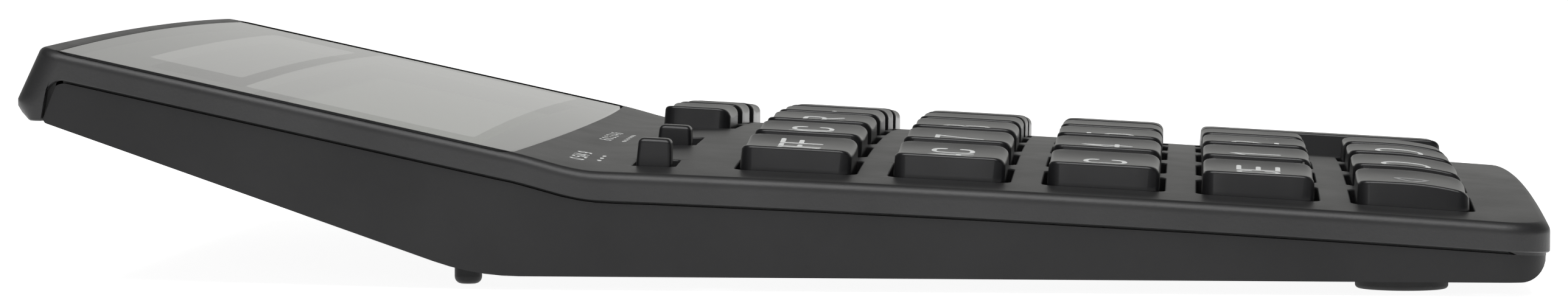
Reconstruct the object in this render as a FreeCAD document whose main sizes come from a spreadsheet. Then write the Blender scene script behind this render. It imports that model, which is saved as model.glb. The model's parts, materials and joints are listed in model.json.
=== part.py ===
"""Desktop calculator, modelled as an assembly of separate pieces.

Millimetres.  X runs across the calculator, Y from the front edge (minus) to the display end
(plus), Z up from the table.  The origin is on the table, under the middle of the calculator.
"""

import FreeCAD, Part
import math
import os

import Sketcher
from FreeCAD import Placement, Rotation, Vector

SIZES = {
    # overall body
    "body_width": 142.0,
    "body_length": 186.9,
    "corner_front": 6.0,
    "corner_rear": 3.5,
    "wall": 1.8,
    # side rim of the top cover: a straight display bed, a bend and a gently arched deck
    "bed_foot_y": 32.3,
    "bed_foot_z": 16.75,
    "bed_rise": 0.217,
    "deck_top_y": 21.7,
    "deck_top_z": 14.4,
    "deck_rise": 0.035,
    "deck_rise_front": 0.068,
    # crown across the width, large over the keys and small over the display
    "crown_deck": 2.5,
    "crown_bed": 0.8,
    "crown_start_y": 11.0,
    "crown_end_y": 35.0,
    "deck_wall": 1.8,
    "bed_wall": 3.0,
    # skirt of the cover and the rear end that wraps down behind the case
    "skirt": 3.4,
    "parting_gap": 0.35,
    "rear_low_z": 20.3,
    "rear_widest_z": 22.7,
    "rear_lean": 0.463,
    "rear_inner_top_y": 88.6,
    "rear_inner_lean": 0.398,
    # bottom case
    "case_inset": 0.5,
    "case_floor_z": 1.65,
    "case_floor_wall": 1.5,
    "case_break_y": 36.7,
    "case_rear_rise": 0.348,
    "case_front_radius": 3.2,
    "case_break_radius": 32.0,
    "case_rear_y": 89.9,
    # keys
    "column_pitch": 21.5,
    "row_pitch": 18.85,
    "first_row_y": -1.4,
    "top_row_y": 16.3,
    "top_row_length": 9.2,
    "key_width": 16.2,
    "key_length": 14.0,
    "key_draft": 0.6,
    "key_corner": 1.6,
    "key_rise": 2.9,
    "key_block": 3.9,
    "key_arch": 0.6,
    "key_roof": 1.1,
    "key_side": 1.3,
    "key_flange": 0.9,
    "key_flange_thick": 0.5,
    "key_flange_play": 0.1,
    "key_gap": 0.5,
    "dish_radius": 53.0,
    "post_radius": 2.6,
    "hole_corner": 1.5,
    # keypad stack, measured up from the board's top face
    "board_rise": 0.0516,
    "board_z": 8.84,
    "board_thick": 1.2,
    "board_half_width": 63.2,
    "board_front_y": -86.0,
    "board_back_y": 40.0,
    "sheet_thick": 0.6,
    "dome_height": 0.45,
    "dome_radius": 4.4,
    "chip_radius": 7.5,
    "chip_thick": 1.8,
    "post_foot": 2.3,
    # sliders
    "slider_y": 16.0,
    "slot_length_y": 5.4,
    "knob_length_y": 4.3,
    "knob_width": 3.4,
    "rounding_knob_rise": 3.3,
    "decimal_knob_rise": 2.5,
    "knob_flange_thick": 0.4,
    "knob_flange_reach": 0.8,
    "rounding_slot_x": -62.2,
    "rounding_travel": 4.0,
    "decimal_slot_x": -34.0,
    "decimal_travel": 10.0,
    "slot_end_gap": 0.3,
    "switch_height": 1.9,
    "switch_length_y": 7.0,
    "switch_margin": 1.5,
    # display end
    "window_half_width": 70.2,
    "window_front_y": 32.5,
    "window_bow": 2.3,
    "window_back_y": 88.2,
    "window_thick": 1.2,
    "window_gap": 0.15,
    "window_sink": 0.1,
    "window_corner": 1.5,
    "solar_half_width": 50.0,
    "solar_front_y": 68.6,
    "solar_back_y": 80.3,
    "solar_thick": 1.2,
    "lcd_half_width": 61.0,
    "lcd_front_y": 38.0,
    "lcd_back_y": 66.4,
    "lcd_thick": 2.4,
    "glass_margin": 1.4,
    "frame_wall": 1.2,
    "frame_depth": 3.4,
    # battery bay, in the sloping rear underside
    "door_y": 62.0,
    "door_width": 32.0,
    "door_length": 27.0,
    "door_thick": 0.9,
    "door_gap": 0.2,
    "door_corner": 2.0,
    "bay_width": 24.0,
    "bay_length": 21.4,
    "bay_shift": -1.6,
    "cell_radius": 10.0,
    "cell_thick": 3.2,
    "contact_thick": 0.3,
    "boss_radius": 2.4,
    "pilot_radius": 1.05,
    "screw_radius": 1.0,
    "screw_head_radius": 2.1,
    "screw_head_thick": 1.0,
    "side_screw_x": 66.4,
    "side_screw_front_y": -86.0,
    "side_screw_back_y": 8.0,
    "rear_screw_x": 62.0,
    "rear_screw_y": 84.0,
    "board_screw_x": 45.0,
    "board_screw_y": 28.0,
    "door_screw_inset": 2.4,
    # feet
    "front_foot_radius": 5.7,
    "front_foot_x": 57.0,
    "front_foot_y": -75.9,
    "rear_foot_radius": 1.7,
    "rear_foot_x": 60.0,
    "rear_foot_y": 38.8,
    # leads
    "lead_radius": 0.6,
}

# Rows from the display end to the front, columns from the left.  The short top row gives each
# key's column too.
TOP_ROW = [("key_percent", 3), ("key_square_root", 4), ("key_grand_total", 5)]
ROWS = [
    ["key_off", "key_memory_clear", "key_memory_recall", "key_memory_minus", "key_memory_plus",
     "key_divide"],
    ["key_on", "key_7", "key_8", "key_9", "key_multiply", "key_mark_up"],
    ["key_clear", "key_4", "key_5", "key_6", "key_minus", "key_sign"],
    ["key_clear_entry", "key_1", "key_2", "key_3", "key_plus", "key_equals"],
    ["key_backspace", "key_0", "key_00", "key_point"],
]
TALL_KEYS = ("key_plus", "key_equals")
COLUMNS = 6

doc = FreeCAD.newDocument("calculator")
sheet = doc.addObject("Spreadsheet::Sheet", "sizes")
for line, (alias, value) in enumerate(SIZES.items(), start=1):
    sheet.set(f"A{line}", alias)
    sheet.set(f"B{line}", str(value))
    sheet.setAlias(f"B{line}", alias)
doc.recompute()

values = {alias: float(sheet.get(alias)) for alias in SIZES}
pieces = []


def size(alias):
    """One driving dimension, as the sheet holds it."""
    return values[alias]


def keep(piece, label):
    """Name a finished sub-part and list it for writing."""
    piece.Label = label
    pieces.append(piece)
    return piece


def feature(label, shape):
    """A sub-part whose shape neither primitives nor PartDesign give."""
    piece = doc.addObject("Part::Feature", label)
    piece.Shape = shape
    return keep(piece, label)


def bind(thing, **expressions):
    """Bind properties of a document object to expressions on the sheet."""
    for name, text in expressions.items():
        thing.setExpression(name, text)
    return thing


def primitive(kind, name, **expressions):
    """A Part primitive with its sizes bound to the sheet."""
    return bind(doc.addObject(kind, name), **expressions)


# ---------------------------------------------------------------- heights of the top cover


def rim_height(y):
    """Height of the cover's side rim at y: display bed, bend and deck."""
    foot_y = size("bed_foot_y")
    top_y = size("deck_top_y")
    if y >= foot_y:
        return size("bed_foot_z") + size("bed_rise") * (y - foot_y)
    if y <= top_y:
        run = top_y - y
        full_run = top_y + size("body_length") / 2
        gain = (size("deck_rise_front") - size("deck_rise")) / full_run
        return size("deck_top_z") - size("deck_rise") * run - gain * run * run / 2
    # the bend is one cubic that meets both lines with their own slopes
    span = foot_y - top_y
    part = (y - top_y) / span
    rise = size("bed_foot_z") - size("deck_top_z")
    low = size("deck_rise") * span
    high = size("bed_rise") * span
    bend = part * low + part ** 2 * (3 * rise - 2 * low - high) + part ** 3 * (low + high - 2 * rise)
    return size("deck_top_z") + bend


def blend(y):
    """0 over the keys, 1 over the display, smooth between."""
    start = size("crown_start_y")
    part = (y - start) / (size("crown_end_y") - start)
    part = min(max(part, 0.0), 1.0)
    return part * part * (3 - 2 * part)


def top_height(x, y):
    """Height of the cover's outer skin."""
    crown = size("crown_deck") + (size("crown_bed") - size("crown_deck")) * blend(y)
    return rim_height(y) + crown * (1 - (2 * x / size("body_width")) ** 2)


def ceiling_height(x, y):
    """Height of the cover's inner skin, further down under the display bed."""
    thick = size("deck_wall") + (size("bed_wall") - size("deck_wall")) * blend(y)
    return top_height(x, y) - thick


def space_above(height, high=60.0):
    """Solid that fills everything above a height function, wider than the body."""
    columns = 13
    rows = 65
    reach_x = size("body_width") / 2 + 4
    reach_y = size("body_length") / 2 + 4
    grid = []
    for i in range(columns):
        x = -reach_x + 2 * reach_x * i / (columns - 1)
        line = []
        for j in range(rows):
            y = -reach_y + 2 * reach_y * j / (rows - 1)
            line.append(Vector(x, y, height(x, y)))
        grid.append(line)
    skin = Part.BSplineSurface()
    skin.interpolate(grid)
    return skin.toShape().extrude(Vector(0, 0, high))


# ---------------------------------------------------------------- outlines


def rounded_wire(corners, point):
    """Closed wire through corners (u, v, radius), with a tangent arc at each radius."""
    arcs = []
    count = len(corners)
    for i, (u, v, radius) in enumerate(corners):
        here = Vector(u, v, 0)
        before = Vector(*corners[i - 1][:2], 0) - here
        after = Vector(*corners[(i + 1) % count][:2], 0) - here
        before.normalize()
        after.normalize()
        half = before.getAngle(after) / 2
        if radius:
            reach = radius / math.tan(half)
            inward = before + after
            inward.normalize()
            middle = here + inward * (radius / math.sin(half) - radius)
            arcs.append((here + before * reach, middle, here + after * reach))
        else:
            arcs.append((here, None, here))
    edges = []
    for i, (start, middle, end) in enumerate(arcs):
        if middle is not None:
            edges.append(Part.Arc(point(start), point(middle), point(end)).toShape())
        following = arcs[(i + 1) % count][0]
        if (following - end).Length > 1e-6:
            edges.append(Part.makeLine(point(end), point(following)))
    return Part.Wire(edges)


def side_prism(corners, half_width):
    """Prism across X from an outline in Y and Z."""
    wire = rounded_wire(corners, lambda p: Vector(-half_width, p.x, p.y))
    return Part.Face(wire).extrude(Vector(2 * half_width, 0, 0))


def plan_prism(corners, low, high):
    """Prism up Z from an outline in X and Y."""
    wire = rounded_wire(corners, lambda p: Vector(p.x, p.y, low))
    return Part.Face(wire).extrude(Vector(0, 0, high - low))


def rectangle(half_x, front, back, radius):
    """Corners of a rectangle centred on X."""
    return [(-half_x, front, radius), (half_x, front, radius), (half_x, back, radius),
            (-half_x, back, radius)]


def box_corners(x_low, x_high, y_low, y_high, radius):
    return [(x_low, y_low, radius), (x_high, y_low, radius), (x_high, y_high, radius),
            (x_low, y_high, radius)]


def upright_edges(shape):
    """Edges that run up the corners, at the two sides of a side prism."""
    widest = shape.BoundBox.XMax
    found = []
    for edge in shape.Edges:
        box = edge.BoundBox
        across = abs(abs(box.XMin) - widest) < 1e-6 and box.XLength < 1e-6
        if across and box.ZLength > 2 and box.YLength < box.ZLength:
            found.append(edge)
    return found


# ---------------------------------------------------------------- frames for tilted pieces

BOARD_TILT = math.degrees(math.atan(size("board_rise")))
BED_TILT = math.degrees(math.atan(size("bed_rise")))
REAR_TILT = math.degrees(math.atan(size("case_rear_rise")))


def tilted(x, y, z, degrees):
    """Placement at a point, tilted up towards the display end."""
    return Placement(Vector(x, y, z), Rotation(Vector(1, 0, 0), degrees))


def board_place(x, y, up=0.0):
    """Placement on the board's top face at x, y, raised by up along its normal."""
    lean = math.radians(BOARD_TILT)
    height = size("board_z") + size("board_rise") * y
    return tilted(x, y - up * math.sin(lean), height + up * math.cos(lean), BOARD_TILT)


def bed_place(x, y, down=0.0):
    """Placement under the display bed's skin at its rim, sunk by down along its normal."""
    lean = math.radians(BED_TILT)
    return tilted(x, y + down * math.sin(lean), rim_height(y) - down * math.cos(lean), BED_TILT)


def rear_place(x, y, up=0.0):
    """Placement on the outer face of the sloping rear underside, raised inwards by up."""
    lean = math.radians(REAR_TILT)
    height = size("case_floor_z") + size("case_rear_rise") * (y - size("case_break_y"))
    return tilted(x, y - up * math.sin(lean), height + up * math.cos(lean), REAR_TILT)


# ---------------------------------------------------------------- where the keys are


def column_x(column):
    return (column - (COLUMNS - 1) / 2) * size("column_pitch")


def key_list():
    """Every key as (name, x, y, length, row number); the short top row is row 0."""
    found = []
    for name, column in TOP_ROW:
        found.append((name, column_x(column), size("top_row_y"), size("top_row_length"), 0))
    for row, names in enumerate(ROWS, start=1):
        y = size("first_row_y") - (row - 1) * size("row_pitch")
        for column, name in enumerate(names):
            length = size("key_length")
            middle = y
            if name in TALL_KEYS:
                length += size("row_pitch")
                middle -= size("row_pitch") / 2
            found.append((name, column_x(column), middle, length, row))
    return found


KEYS = key_list()


def skin_over_board(x, y):
    """Height of the cover's skin above the board's top face, along the board's normal."""
    rise = top_height(x, y) - size("board_z") - size("board_rise") * y
    return rise * math.cos(math.radians(BOARD_TILT))


def sliders():
    """The two sliders: name, slot's low x, travel, knob's rise above the deck."""
    return [
        ("rounding", size("rounding_slot_x"), size("rounding_travel"), size("rounding_knob_rise")),
        ("decimal", size("decimal_slot_x"), size("decimal_travel"), size("decimal_knob_rise")),
    ]


def slot_length_x(travel):
    return size("knob_width") + travel + 2 * size("slot_end_gap")


CASE_SCREWS = []
for side in (-1, 1):
    CASE_SCREWS.append((side * size("side_screw_x"), size("side_screw_front_y")))
    CASE_SCREWS.append((side * size("side_screw_x"), size("side_screw_back_y")))
    CASE_SCREWS.append((side * size("rear_screw_x"), size("rear_screw_y")))
BOARD_SCREWS = [(step * size("board_screw_x"), size("board_screw_y")) for step in (-1, 0, 1)]


# ---------------------------------------------------------------- the two case halves


def cover_block(inset):
    """Outer form of the cover, before the crown and the parting line are cut."""
    half = size("body_length") / 2 - inset
    widest = size("rear_widest_z")
    high = 46.0
    top_y = half - size("rear_lean") * (high - widest)
    corners = [(-half, -5, 0), (-half, high, 0), (top_y, high, 0), (half, widest, 0), (half, -5, 0)]
    block = side_prism(corners, size("body_width") / 2 - inset)
    front = [edge for edge in upright_edges(block) if edge.BoundBox.YMax < 0]
    block = block.makeFillet(max(size("corner_front") - inset, 0.8), front)
    rear = [edge for edge in upright_edges(block) if edge.BoundBox.YMin > 0]
    return block.makeFillet(max(size("corner_rear") - inset, 0.8), rear)


def parting_solid(drop, back, low_z):
    """Everything under the parting line, which turns down inside the rear wall."""
    rear_top_y = size("rear_inner_top_y") - back
    rear_y = rear_top_y + size("rear_inner_lean") * (rim_height(rear_top_y) - drop - low_z)
    reach = size("body_length") / 2 + 10
    half = size("body_width") / 2 + 5
    straight_y = size("bed_foot_y") + 2
    count = 34
    points = []
    for i in range(count):
        y = -reach + (straight_y + reach) * i / (count - 1)
        points.append(Vector(-half, y, rim_height(y) - drop))
    curve = Part.BSplineCurve()
    curve.interpolate(points)
    turn_z = rim_height(rear_top_y) - drop
    turn = size("wall")
    slope = math.atan(size("bed_rise"))
    steep = math.atan2(rear_y - rear_top_y, turn_z - low_z)
    corner = Vector(-half, rear_top_y, turn_z)
    to_front = Vector(0, -math.cos(slope), -math.sin(slope))
    to_foot = Vector(0, math.sin(steep), -math.cos(steep))
    opening = to_front.getAngle(to_foot) / 2
    reach_in = turn / math.tan(opening)
    inward = to_front + to_foot
    inward.normalize()
    start = corner + to_front * reach_in
    middle = corner + inward * (turn / math.sin(opening) - turn)
    end = corner + to_foot * reach_in
    foot = Vector(-half, rear_y, low_z)
    far = Vector(-half, reach, low_z)
    under = Vector(-half, reach, -20)
    front = Vector(-half, -reach, -20)
    edges = [
        curve.toShape(),
        Part.makeLine(points[-1], start),
        Part.Arc(start, middle, end).toShape(),
        Part.makeLine(end, foot),
        Part.makeLine(foot, far),
        Part.makeLine(far, under),
        Part.makeLine(under, front),
        Part.makeLine(front, points[0]),
    ]
    return Part.Face(Part.Wire(edges)).extrude(Vector(2 * half, 0, 0))


def bowed_window(gap):
    """Plan of the display window: its front edge bows towards the keys."""
    half = size("window_half_width") + gap
    front = size("window_front_y") - gap
    back = size("window_back_y") + gap
    low = -30.0
    left = Vector(-half, front, low)
    right = Vector(half, front, low)
    middle = Vector(0, front - size("window_bow"), low)
    edges = [
        Part.Arc(left, middle, right).toShape(),
        Part.makeLine(right, Vector(half, back, low)),
        Part.makeLine(Vector(half, back, low), Vector(-half, back, low)),
        Part.makeLine(Vector(-half, back, low), left),
    ]
    prism = Part.Face(Part.Wire(edges)).extrude(Vector(0, 0, 90))
    corners = [edge for edge in prism.Edges if edge.BoundBox.ZLength > 80]
    return prism.makeFillet(size("window_corner") + gap, corners)


def window_layer(top_drop, thick, gap):
    """The part of the window's plan between two depths under the cover's skin."""
    upper = space_above(lambda x, y: top_height(x, y) - top_drop)
    lower = space_above(lambda x, y: top_height(x, y) - top_drop - thick)
    return bowed_window(gap).common(lower).cut(upper)


def key_hole(x, y, length):
    """Prism through the deck for one key, along the board's normal."""
    half_x = size("key_width") / 2 + size("key_gap") - 0.1
    half_y = length / 2 + size("key_gap")
    hole = plan_prism(rectangle(half_x, -half_y, half_y, size("hole_corner")), 0, 20)
    hole.Placement = board_place(x, y)
    return hole


def slider_slot(low_x, travel):
    half_y = size("slot_length_y") / 2
    length = slot_length_x(travel)
    slot = plan_prism(box_corners(0, length, -half_y, half_y, 0.5), 0, 20)
    slot.Placement = board_place(low_x, size("slider_y"))
    return slot


def bed_opening(half_x, front, back):
    """Opening in the display bed, along the bed's normal."""
    length = (back - front) / math.cos(math.radians(BED_TILT))
    opening = plan_prism(rectangle(half_x, 0, length, 1.0), -12, 6)
    opening.Placement = bed_place(0, front)
    return opening


def upright(radius, x, y, low, high):
    return Part.makeCylinder(radius, high - low, Vector(x, y, low))


def make_top_cover():
    outer = cover_block(0)
    outer = outer.cut(space_above(top_height))
    under = parting_solid(size("skirt"), 0, size("rear_low_z"))
    outer = outer.cut(under)
    inner = cover_block(size("wall")).cut(space_above(ceiling_height))
    cover = outer.cut(inner)
    posts = []
    for x, y in CASE_SCREWS:
        posts.append(upright(size("boss_radius"), x, y, rim_height(y) - size("skirt") + 0.4, 60))
    for x, y in BOARD_SCREWS:
        board = size("board_z") + size("board_rise") * y
        posts.append(upright(size("boss_radius"), x, y, board + 0.2, 60))
    outside = space_above(lambda x, y: ceiling_height(x, y) + 0.2)
    body = cover_block(0.6)
    for post in posts:
        cover = cover.fuse(post.cut(outside).common(body))
    cuts = [window_layer(-6, 6 + size("window_sink") + size("window_thick") + 0.05,
                         size("window_gap"))]
    for name, x, y, length, row in KEYS:
        cuts.append(key_hole(x, y, length))
    for name, low_x, travel, rise in sliders():
        cuts.append(slider_slot(low_x, travel))
    cuts.append(bed_opening(size("solar_half_width"), size("solar_front_y"), size("solar_back_y")))
    cuts.append(bed_opening(size("lcd_half_width"), size("lcd_front_y"), size("lcd_back_y")))
    for x, y in CASE_SCREWS + BOARD_SCREWS:
        cuts.append(upright(size("pilot_radius"), x, y, 0, ceiling_height(x, y) - 0.2))
    return cover.cut(cuts)


def case_outline(inset_side, floor_z, inset_end):
    """Side outline of the bottom case."""
    break_y = size("case_break_y")
    rise = size("case_rear_rise")
    half = size("body_length") / 2 - size("case_inset") - inset_end
    # an inner outline keeps its distance from the sloping underside as well
    lift = (floor_z - size("case_floor_z")) * (1 / math.cos(math.atan(rise)) - 1)
    break_y = break_y - lift / rise
    rear_y = size("case_rear_y") - inset_end
    rear_z = floor_z + rise * (rear_y - break_y)
    lean = -size("rear_inner_lean")
    return [
        (-half, 46, 0),
        (-half, floor_z, max(size("case_front_radius") - inset_side, 1.0)),
        (break_y, floor_z, size("case_break_radius")),
        (rear_y, rear_z, 0.6),
        (rear_y + lean * 8, rear_z + 8, 0),
        (rear_y + lean * 8, 46, 0),
    ]


def case_plan(inset):
    """Plan of the bottom case with its rounded corners."""
    half_x = size("body_width") / 2 - size("case_inset") - inset
    half_y = size("body_length") / 2 - size("case_inset") - inset
    front = size("corner_front") - size("case_inset") - inset
    rear = size("corner_rear") - size("case_inset") - inset
    corners = [(-half_x, -half_y, front), (half_x, -half_y, front), (half_x, half_y, rear),
               (-half_x, half_y, rear)]
    return plan_prism(corners, -5, 50)


def make_bottom_case():
    wall = size("wall")
    half = size("body_width") / 2 - size("case_inset")
    outer = side_prism(case_outline(0, size("case_floor_z"), 0), half)
    inner = side_prism(case_outline(wall, size("case_floor_z") + size("case_floor_wall"), wall),
                       half - wall)
    outer = outer.common(case_plan(0))
    inner = inner.common(case_plan(wall))
    solid_case = outer
    case = outer.cut(inner)
    under_parting = parting_solid(size("skirt") + size("parting_gap"), size("parting_gap"), 0)
    holes = []
    bosses = []
    for x, y in CASE_SCREWS:
        top = rim_height(y) - size("skirt")
        bosses.append(upright(size("boss_radius"), x, y, 0, top).common(solid_case))
        holes.append(upright(size("screw_radius") + 0.15, x, y, -5, top + 5))
        holes.append(upright(size("screw_head_radius") + 0.2, x, y, -5, screw_seat(x, y)))
    case = case.fuse(bosses)
    case = case.common(under_parting)
    holes += [battery_recess(), battery_opening()]
    case = case.fuse(door_boss())
    case = case.cut(holes)
    pilot = Part.makeCylinder(size("pilot_radius"), 8, Vector(0, DOOR_SCREW_Y, -2))
    pilot.Placement = rear_place(0, size("door_y"))
    return case.cut(pilot)


def screw_seat(x, y):
    """Height of the face that a case screw's head bears on."""
    under = size("case_floor_z")
    if y > size("case_break_y"):
        under += size("case_rear_rise") * (y - size("case_break_y"))
        return under + 1.6
    return under + 1.1


DOOR_SCREW_Y = size("door_length") / 2 - size("door_screw_inset")


def battery_recess():
    half_x = size("door_width") / 2 + size("door_gap")
    half_y = size("door_length") / 2 + size("door_gap")
    corner = size("door_corner") + size("door_gap")
    recess = plan_prism(rectangle(half_x, -half_y, half_y, corner), -5, size("door_thick") + 0.05)
    recess.Placement = rear_place(0, size("door_y"))
    return recess


def battery_opening():
    half_x = size("bay_width") / 2
    half_y = size("bay_length") / 2
    shift = size("bay_shift")
    opening = plan_prism(rectangle(half_x, shift - half_y, shift + half_y, 1.5), -5, 3)
    opening.Placement = rear_place(0, size("door_y"))
    return opening


def door_boss():
    boss = Part.makeCylinder(size("boss_radius"), 2.2, Vector(0, DOOR_SCREW_Y, 1.2))
    boss.Placement = rear_place(0, size("door_y"))
    return boss


# ---------------------------------------------------------------- keys


def slanted_edges(shape):
    """Edges that climb between the foot and the top of a wedge or box."""
    numbers = []
    for number, edge in enumerate(shape.Edges, start=1):
        if edge.BoundBox.ZLength > 0.3:
            numbers.append(number)
    return numbers


def rounded_corners(base, name, radius):
    """Part fillet on the corner edges of a block."""
    doc.recompute()
    fillet = doc.addObject("Part::Fillet", name)
    fillet.Base = base
    fillet.Edges = [(number, radius, radius) for number in slanted_edges(base.Shape)]
    return fillet


def crown_tilt(x, y):
    """Tilt of a key's top about its own length, so that it follows the deck's crown."""
    crown = size("crown_deck") + (size("crown_bed") - size("crown_deck")) * blend(y)
    slope = -8 * crown * x / size("body_width") ** 2
    return Rotation(Vector(0, 1, 0), -math.degrees(math.atan(slope)))


def lowest_ceiling(x, y, half_x, half_y):
    """Lowest height of the cover's inner skin above the board, over a rectangle."""
    found = []
    for across in (-1, 0, 1):
        for along in (-1, 0, 1):
            spot_x = x + across * half_x
            spot_y = y + along * half_y
            rise = ceiling_height(spot_x, spot_y) - size("board_z") - size("board_rise") * spot_y
            found.append(rise * math.cos(math.radians(BOARD_TILT)))
    return min(found)


def make_key(name, x, y, length, row):
    """One key cap: drafted block with a dished top, hollow, with a flange and a post."""
    skin = skin_over_board(x, y)
    half_long = length / 2
    reach = size("key_gap") + size("key_flange")
    flange_top = lowest_ceiling(x, y, size("key_width") / 2 + reach, half_long + reach)
    flange_top -= size("key_flange_play")
    top_frame = Placement(Vector(0, 0, skin + size("key_rise")), crown_tilt(x, y))
    # drafted head above the deck; a wedge tapers along its own Y, so it is stood upright
    head = primitive(
        "Part::Wedge", f"{name}_head",
        Xmin="-sizes.key_width / 2",
        Xmax="sizes.key_width / 2",
        X2min="-sizes.key_width / 2 + sizes.key_draft",
        X2max="sizes.key_width / 2 - sizes.key_draft",
        Zmin=f"{-half_long}",
        Zmax=f"{half_long}",
        Z2min=f"{-half_long} + sizes.key_draft",
        Z2max=f"{half_long} - sizes.key_draft",
        Ymin="0",
        Ymax="sizes.key_block",
    )
    head.Placement = Placement(Vector(0, 0, skin), Rotation(Vector(1, 0, 0), 90))
    head = rounded_corners(head, f"{name}_rounded_head", size("key_corner"))
    dish = primitive("Part::Cylinder", f"{name}_dish", Radius="sizes.dish_radius",
                     Height=f"{length} + 4")
    half_top = size("key_width") / 2 - size("key_draft") * size("key_rise") / size("key_block")
    sink = math.sqrt(size("dish_radius") ** 2 - half_top ** 2)
    dish.Placement = top_frame * Placement(Vector(0, half_long + 2, sink),
                                           Rotation(Vector(1, 0, 0), 90))
    dished = doc.addObject("Part::Cut", f"{name}_dished")
    dished.Base = head
    dished.Tool = dish
    stem = primitive("Part::Box", f"{name}_stem", Length="sizes.key_width", Width=f"{length}",
                     Height=f"{skin - flange_top + 0.1}")
    stem.Placement = Placement(Vector(-size("key_width") / 2, -half_long, flange_top - 0.1),
                               Rotation())
    stem = rounded_corners(stem, f"{name}_rounded_stem", size("key_corner"))
    flange = primitive("Part::Box", f"{name}_flange",
                       Length="sizes.key_width + 2 * sizes.key_gap + 2 * sizes.key_flange - 0.2",
                       Width=f"{length} + 2 * sizes.key_gap + 2 * sizes.key_flange",
                       Height="sizes.key_flange_thick")
    flange.Placement = Placement(
        Vector(-size("key_width") / 2 - reach + 0.1, -half_long - reach,
               flange_top - size("key_flange_thick")), Rotation())
    shell = doc.addObject("Part::MultiFuse", f"{name}_shell")
    shell.Shapes = [dished, stem, flange]
    roof = skin + size("key_rise") - (size("dish_radius") - sink) - size("key_roof")
    hollow = primitive("Part::Box", f"{name}_hollow",
                       Length="sizes.key_width - 2 * sizes.key_side",
                       Width=f"{length} - 2 * sizes.key_side",
                       Height=f"{roof - flange_top + size('key_flange_thick') + 1}")
    hollow.Placement = Placement(
        Vector(-size("key_width") / 2 + size("key_side"), -half_long + size("key_side"),
               flange_top - size("key_flange_thick") - 1), Rotation())
    hollowed = doc.addObject("Part::Cut", f"{name}_hollowed")
    hollowed.Base = shell
    hollowed.Tool = hollow
    post = primitive("Part::Cylinder", f"{name}_post", Radius="sizes.post_radius",
                     Height=f"{roof + 0.3} - sizes.post_foot")
    post.Placement = Placement(Vector(0, 0, size("post_foot")), Rotation())
    front_row = row == len(ROWS)
    key = doc.addObject("Part::MultiFuse", f"{name}_flat" if front_row else name)
    key.Shapes = [hollowed, post]
    if front_row:
        key = arch_top(key, name, length, top_frame)
    key.Placement = board_place(x, y)
    return keep(key, name)


def arch_top(key, name, length, top_frame):
    """Front row only: the top is arched along the key, lowest at the front."""
    drop = size("key_arch")
    end = length / 2 + 0.3
    back = Vector(-20, end, -0.25 * drop)
    peak = Vector(-20, length * 0.1, 0.1)
    front = Vector(-20, -end, -1.6 * drop)
    back_high = Vector(-20, end, 5)
    front_high = Vector(-20, -end, 5)
    outline = [
        Part.Arc(back, peak, front).toShape(),
        Part.makeLine(front, front_high),
        Part.makeLine(front_high, back_high),
        Part.makeLine(back_high, back),
    ]
    over = doc.addObject("Part::Feature", f"{name}_arch")
    over.Shape = Part.Face(Part.Wire(outline)).extrude(Vector(40, 0, 0))
    over.Placement = top_frame
    arched = doc.addObject("Part::Cut", name)
    arched.Base = key
    arched.Tool = over
    return arched


# ---------------------------------------------------------------- keypad, board and switches


def make_keypad_sheet():
    half_x = size("board_half_width") - 0.6
    front = size("board_front_y") + 0.6
    sheet_body = plan_prism(rectangle(half_x, front, size("first_row_y") + 9.5, 2.0), 0,
                            size("sheet_thick"))
    strip = plan_prism(box_corners(0.6, half_x, size("first_row_y") + 8.0, size("top_row_y") + 6.0,
                                   2.0), 0, size("sheet_thick"))
    solid = sheet_body.fuse(strip)
    for name, x, y, length, row in KEYS:
        # a dome keeps inside the key's hollow, which is narrow under the short top row
        hollow = length / 2 - size("key_side") - size("key_draft")
        radius = min(size("dome_radius"), hollow - 0.1)
        dome = Part.makeCone(radius, radius - 0.8, size("dome_height"),
                             Vector(x, y, size("sheet_thick")))
        solid = solid.fuse(dome)
    solid = solid.removeSplitter()
    # the sheet is drawn flat, then laid on the board
    place = board_place(0, 0, 0.02)
    solid.Placement = place
    return solid


def plane_of(body, role):
    for origin_feature in body.Origin.OriginFeatures:
        if origin_feature.Role == role:
            return origin_feature
    return None


def closed_sketch(body, name, half_x, front, back):
    """Rectangle sketch on the body's XY plane, its four sides bound to expressions."""
    sketch = body.newObject("Sketcher::SketchObject", name)
    sketch.AttachmentSupport = (plane_of(body, "XY_Plane"), [""])
    sketch.MapMode = "FlatFace"
    spots = [(-10, -10), (10, -10), (10, 10), (-10, 10)]
    for i in range(4):
        start = Vector(*spots[i], 0)
        end = Vector(*spots[(i + 1) % 4], 0)
        sketch.addGeometry(Part.LineSegment(start, end), False)
    for i in range(4):
        sketch.addConstraint(Sketcher.Constraint("Coincident", i, 2, (i + 1) % 4, 1))
    for i, kind in enumerate(("Horizontal", "Vertical", "Horizontal", "Vertical")):
        sketch.addConstraint(Sketcher.Constraint(kind, i))
    for label, kind, line, text in (
        ("left", "DistanceX", 0, f"-({half_x})"),
        ("right", "DistanceX", 1, half_x),
        ("front", "DistanceY", 0, front),
        ("back", "DistanceY", 2, back),
    ):
        start = -10 if label in ("left", "front") else 10
        number = sketch.addConstraint(Sketcher.Constraint(kind, -1, 1, line, 1, start))
        sketch.renameConstraint(number, label)
        sketch.setExpression(f"Constraints.{label}", text)
    return sketch


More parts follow.
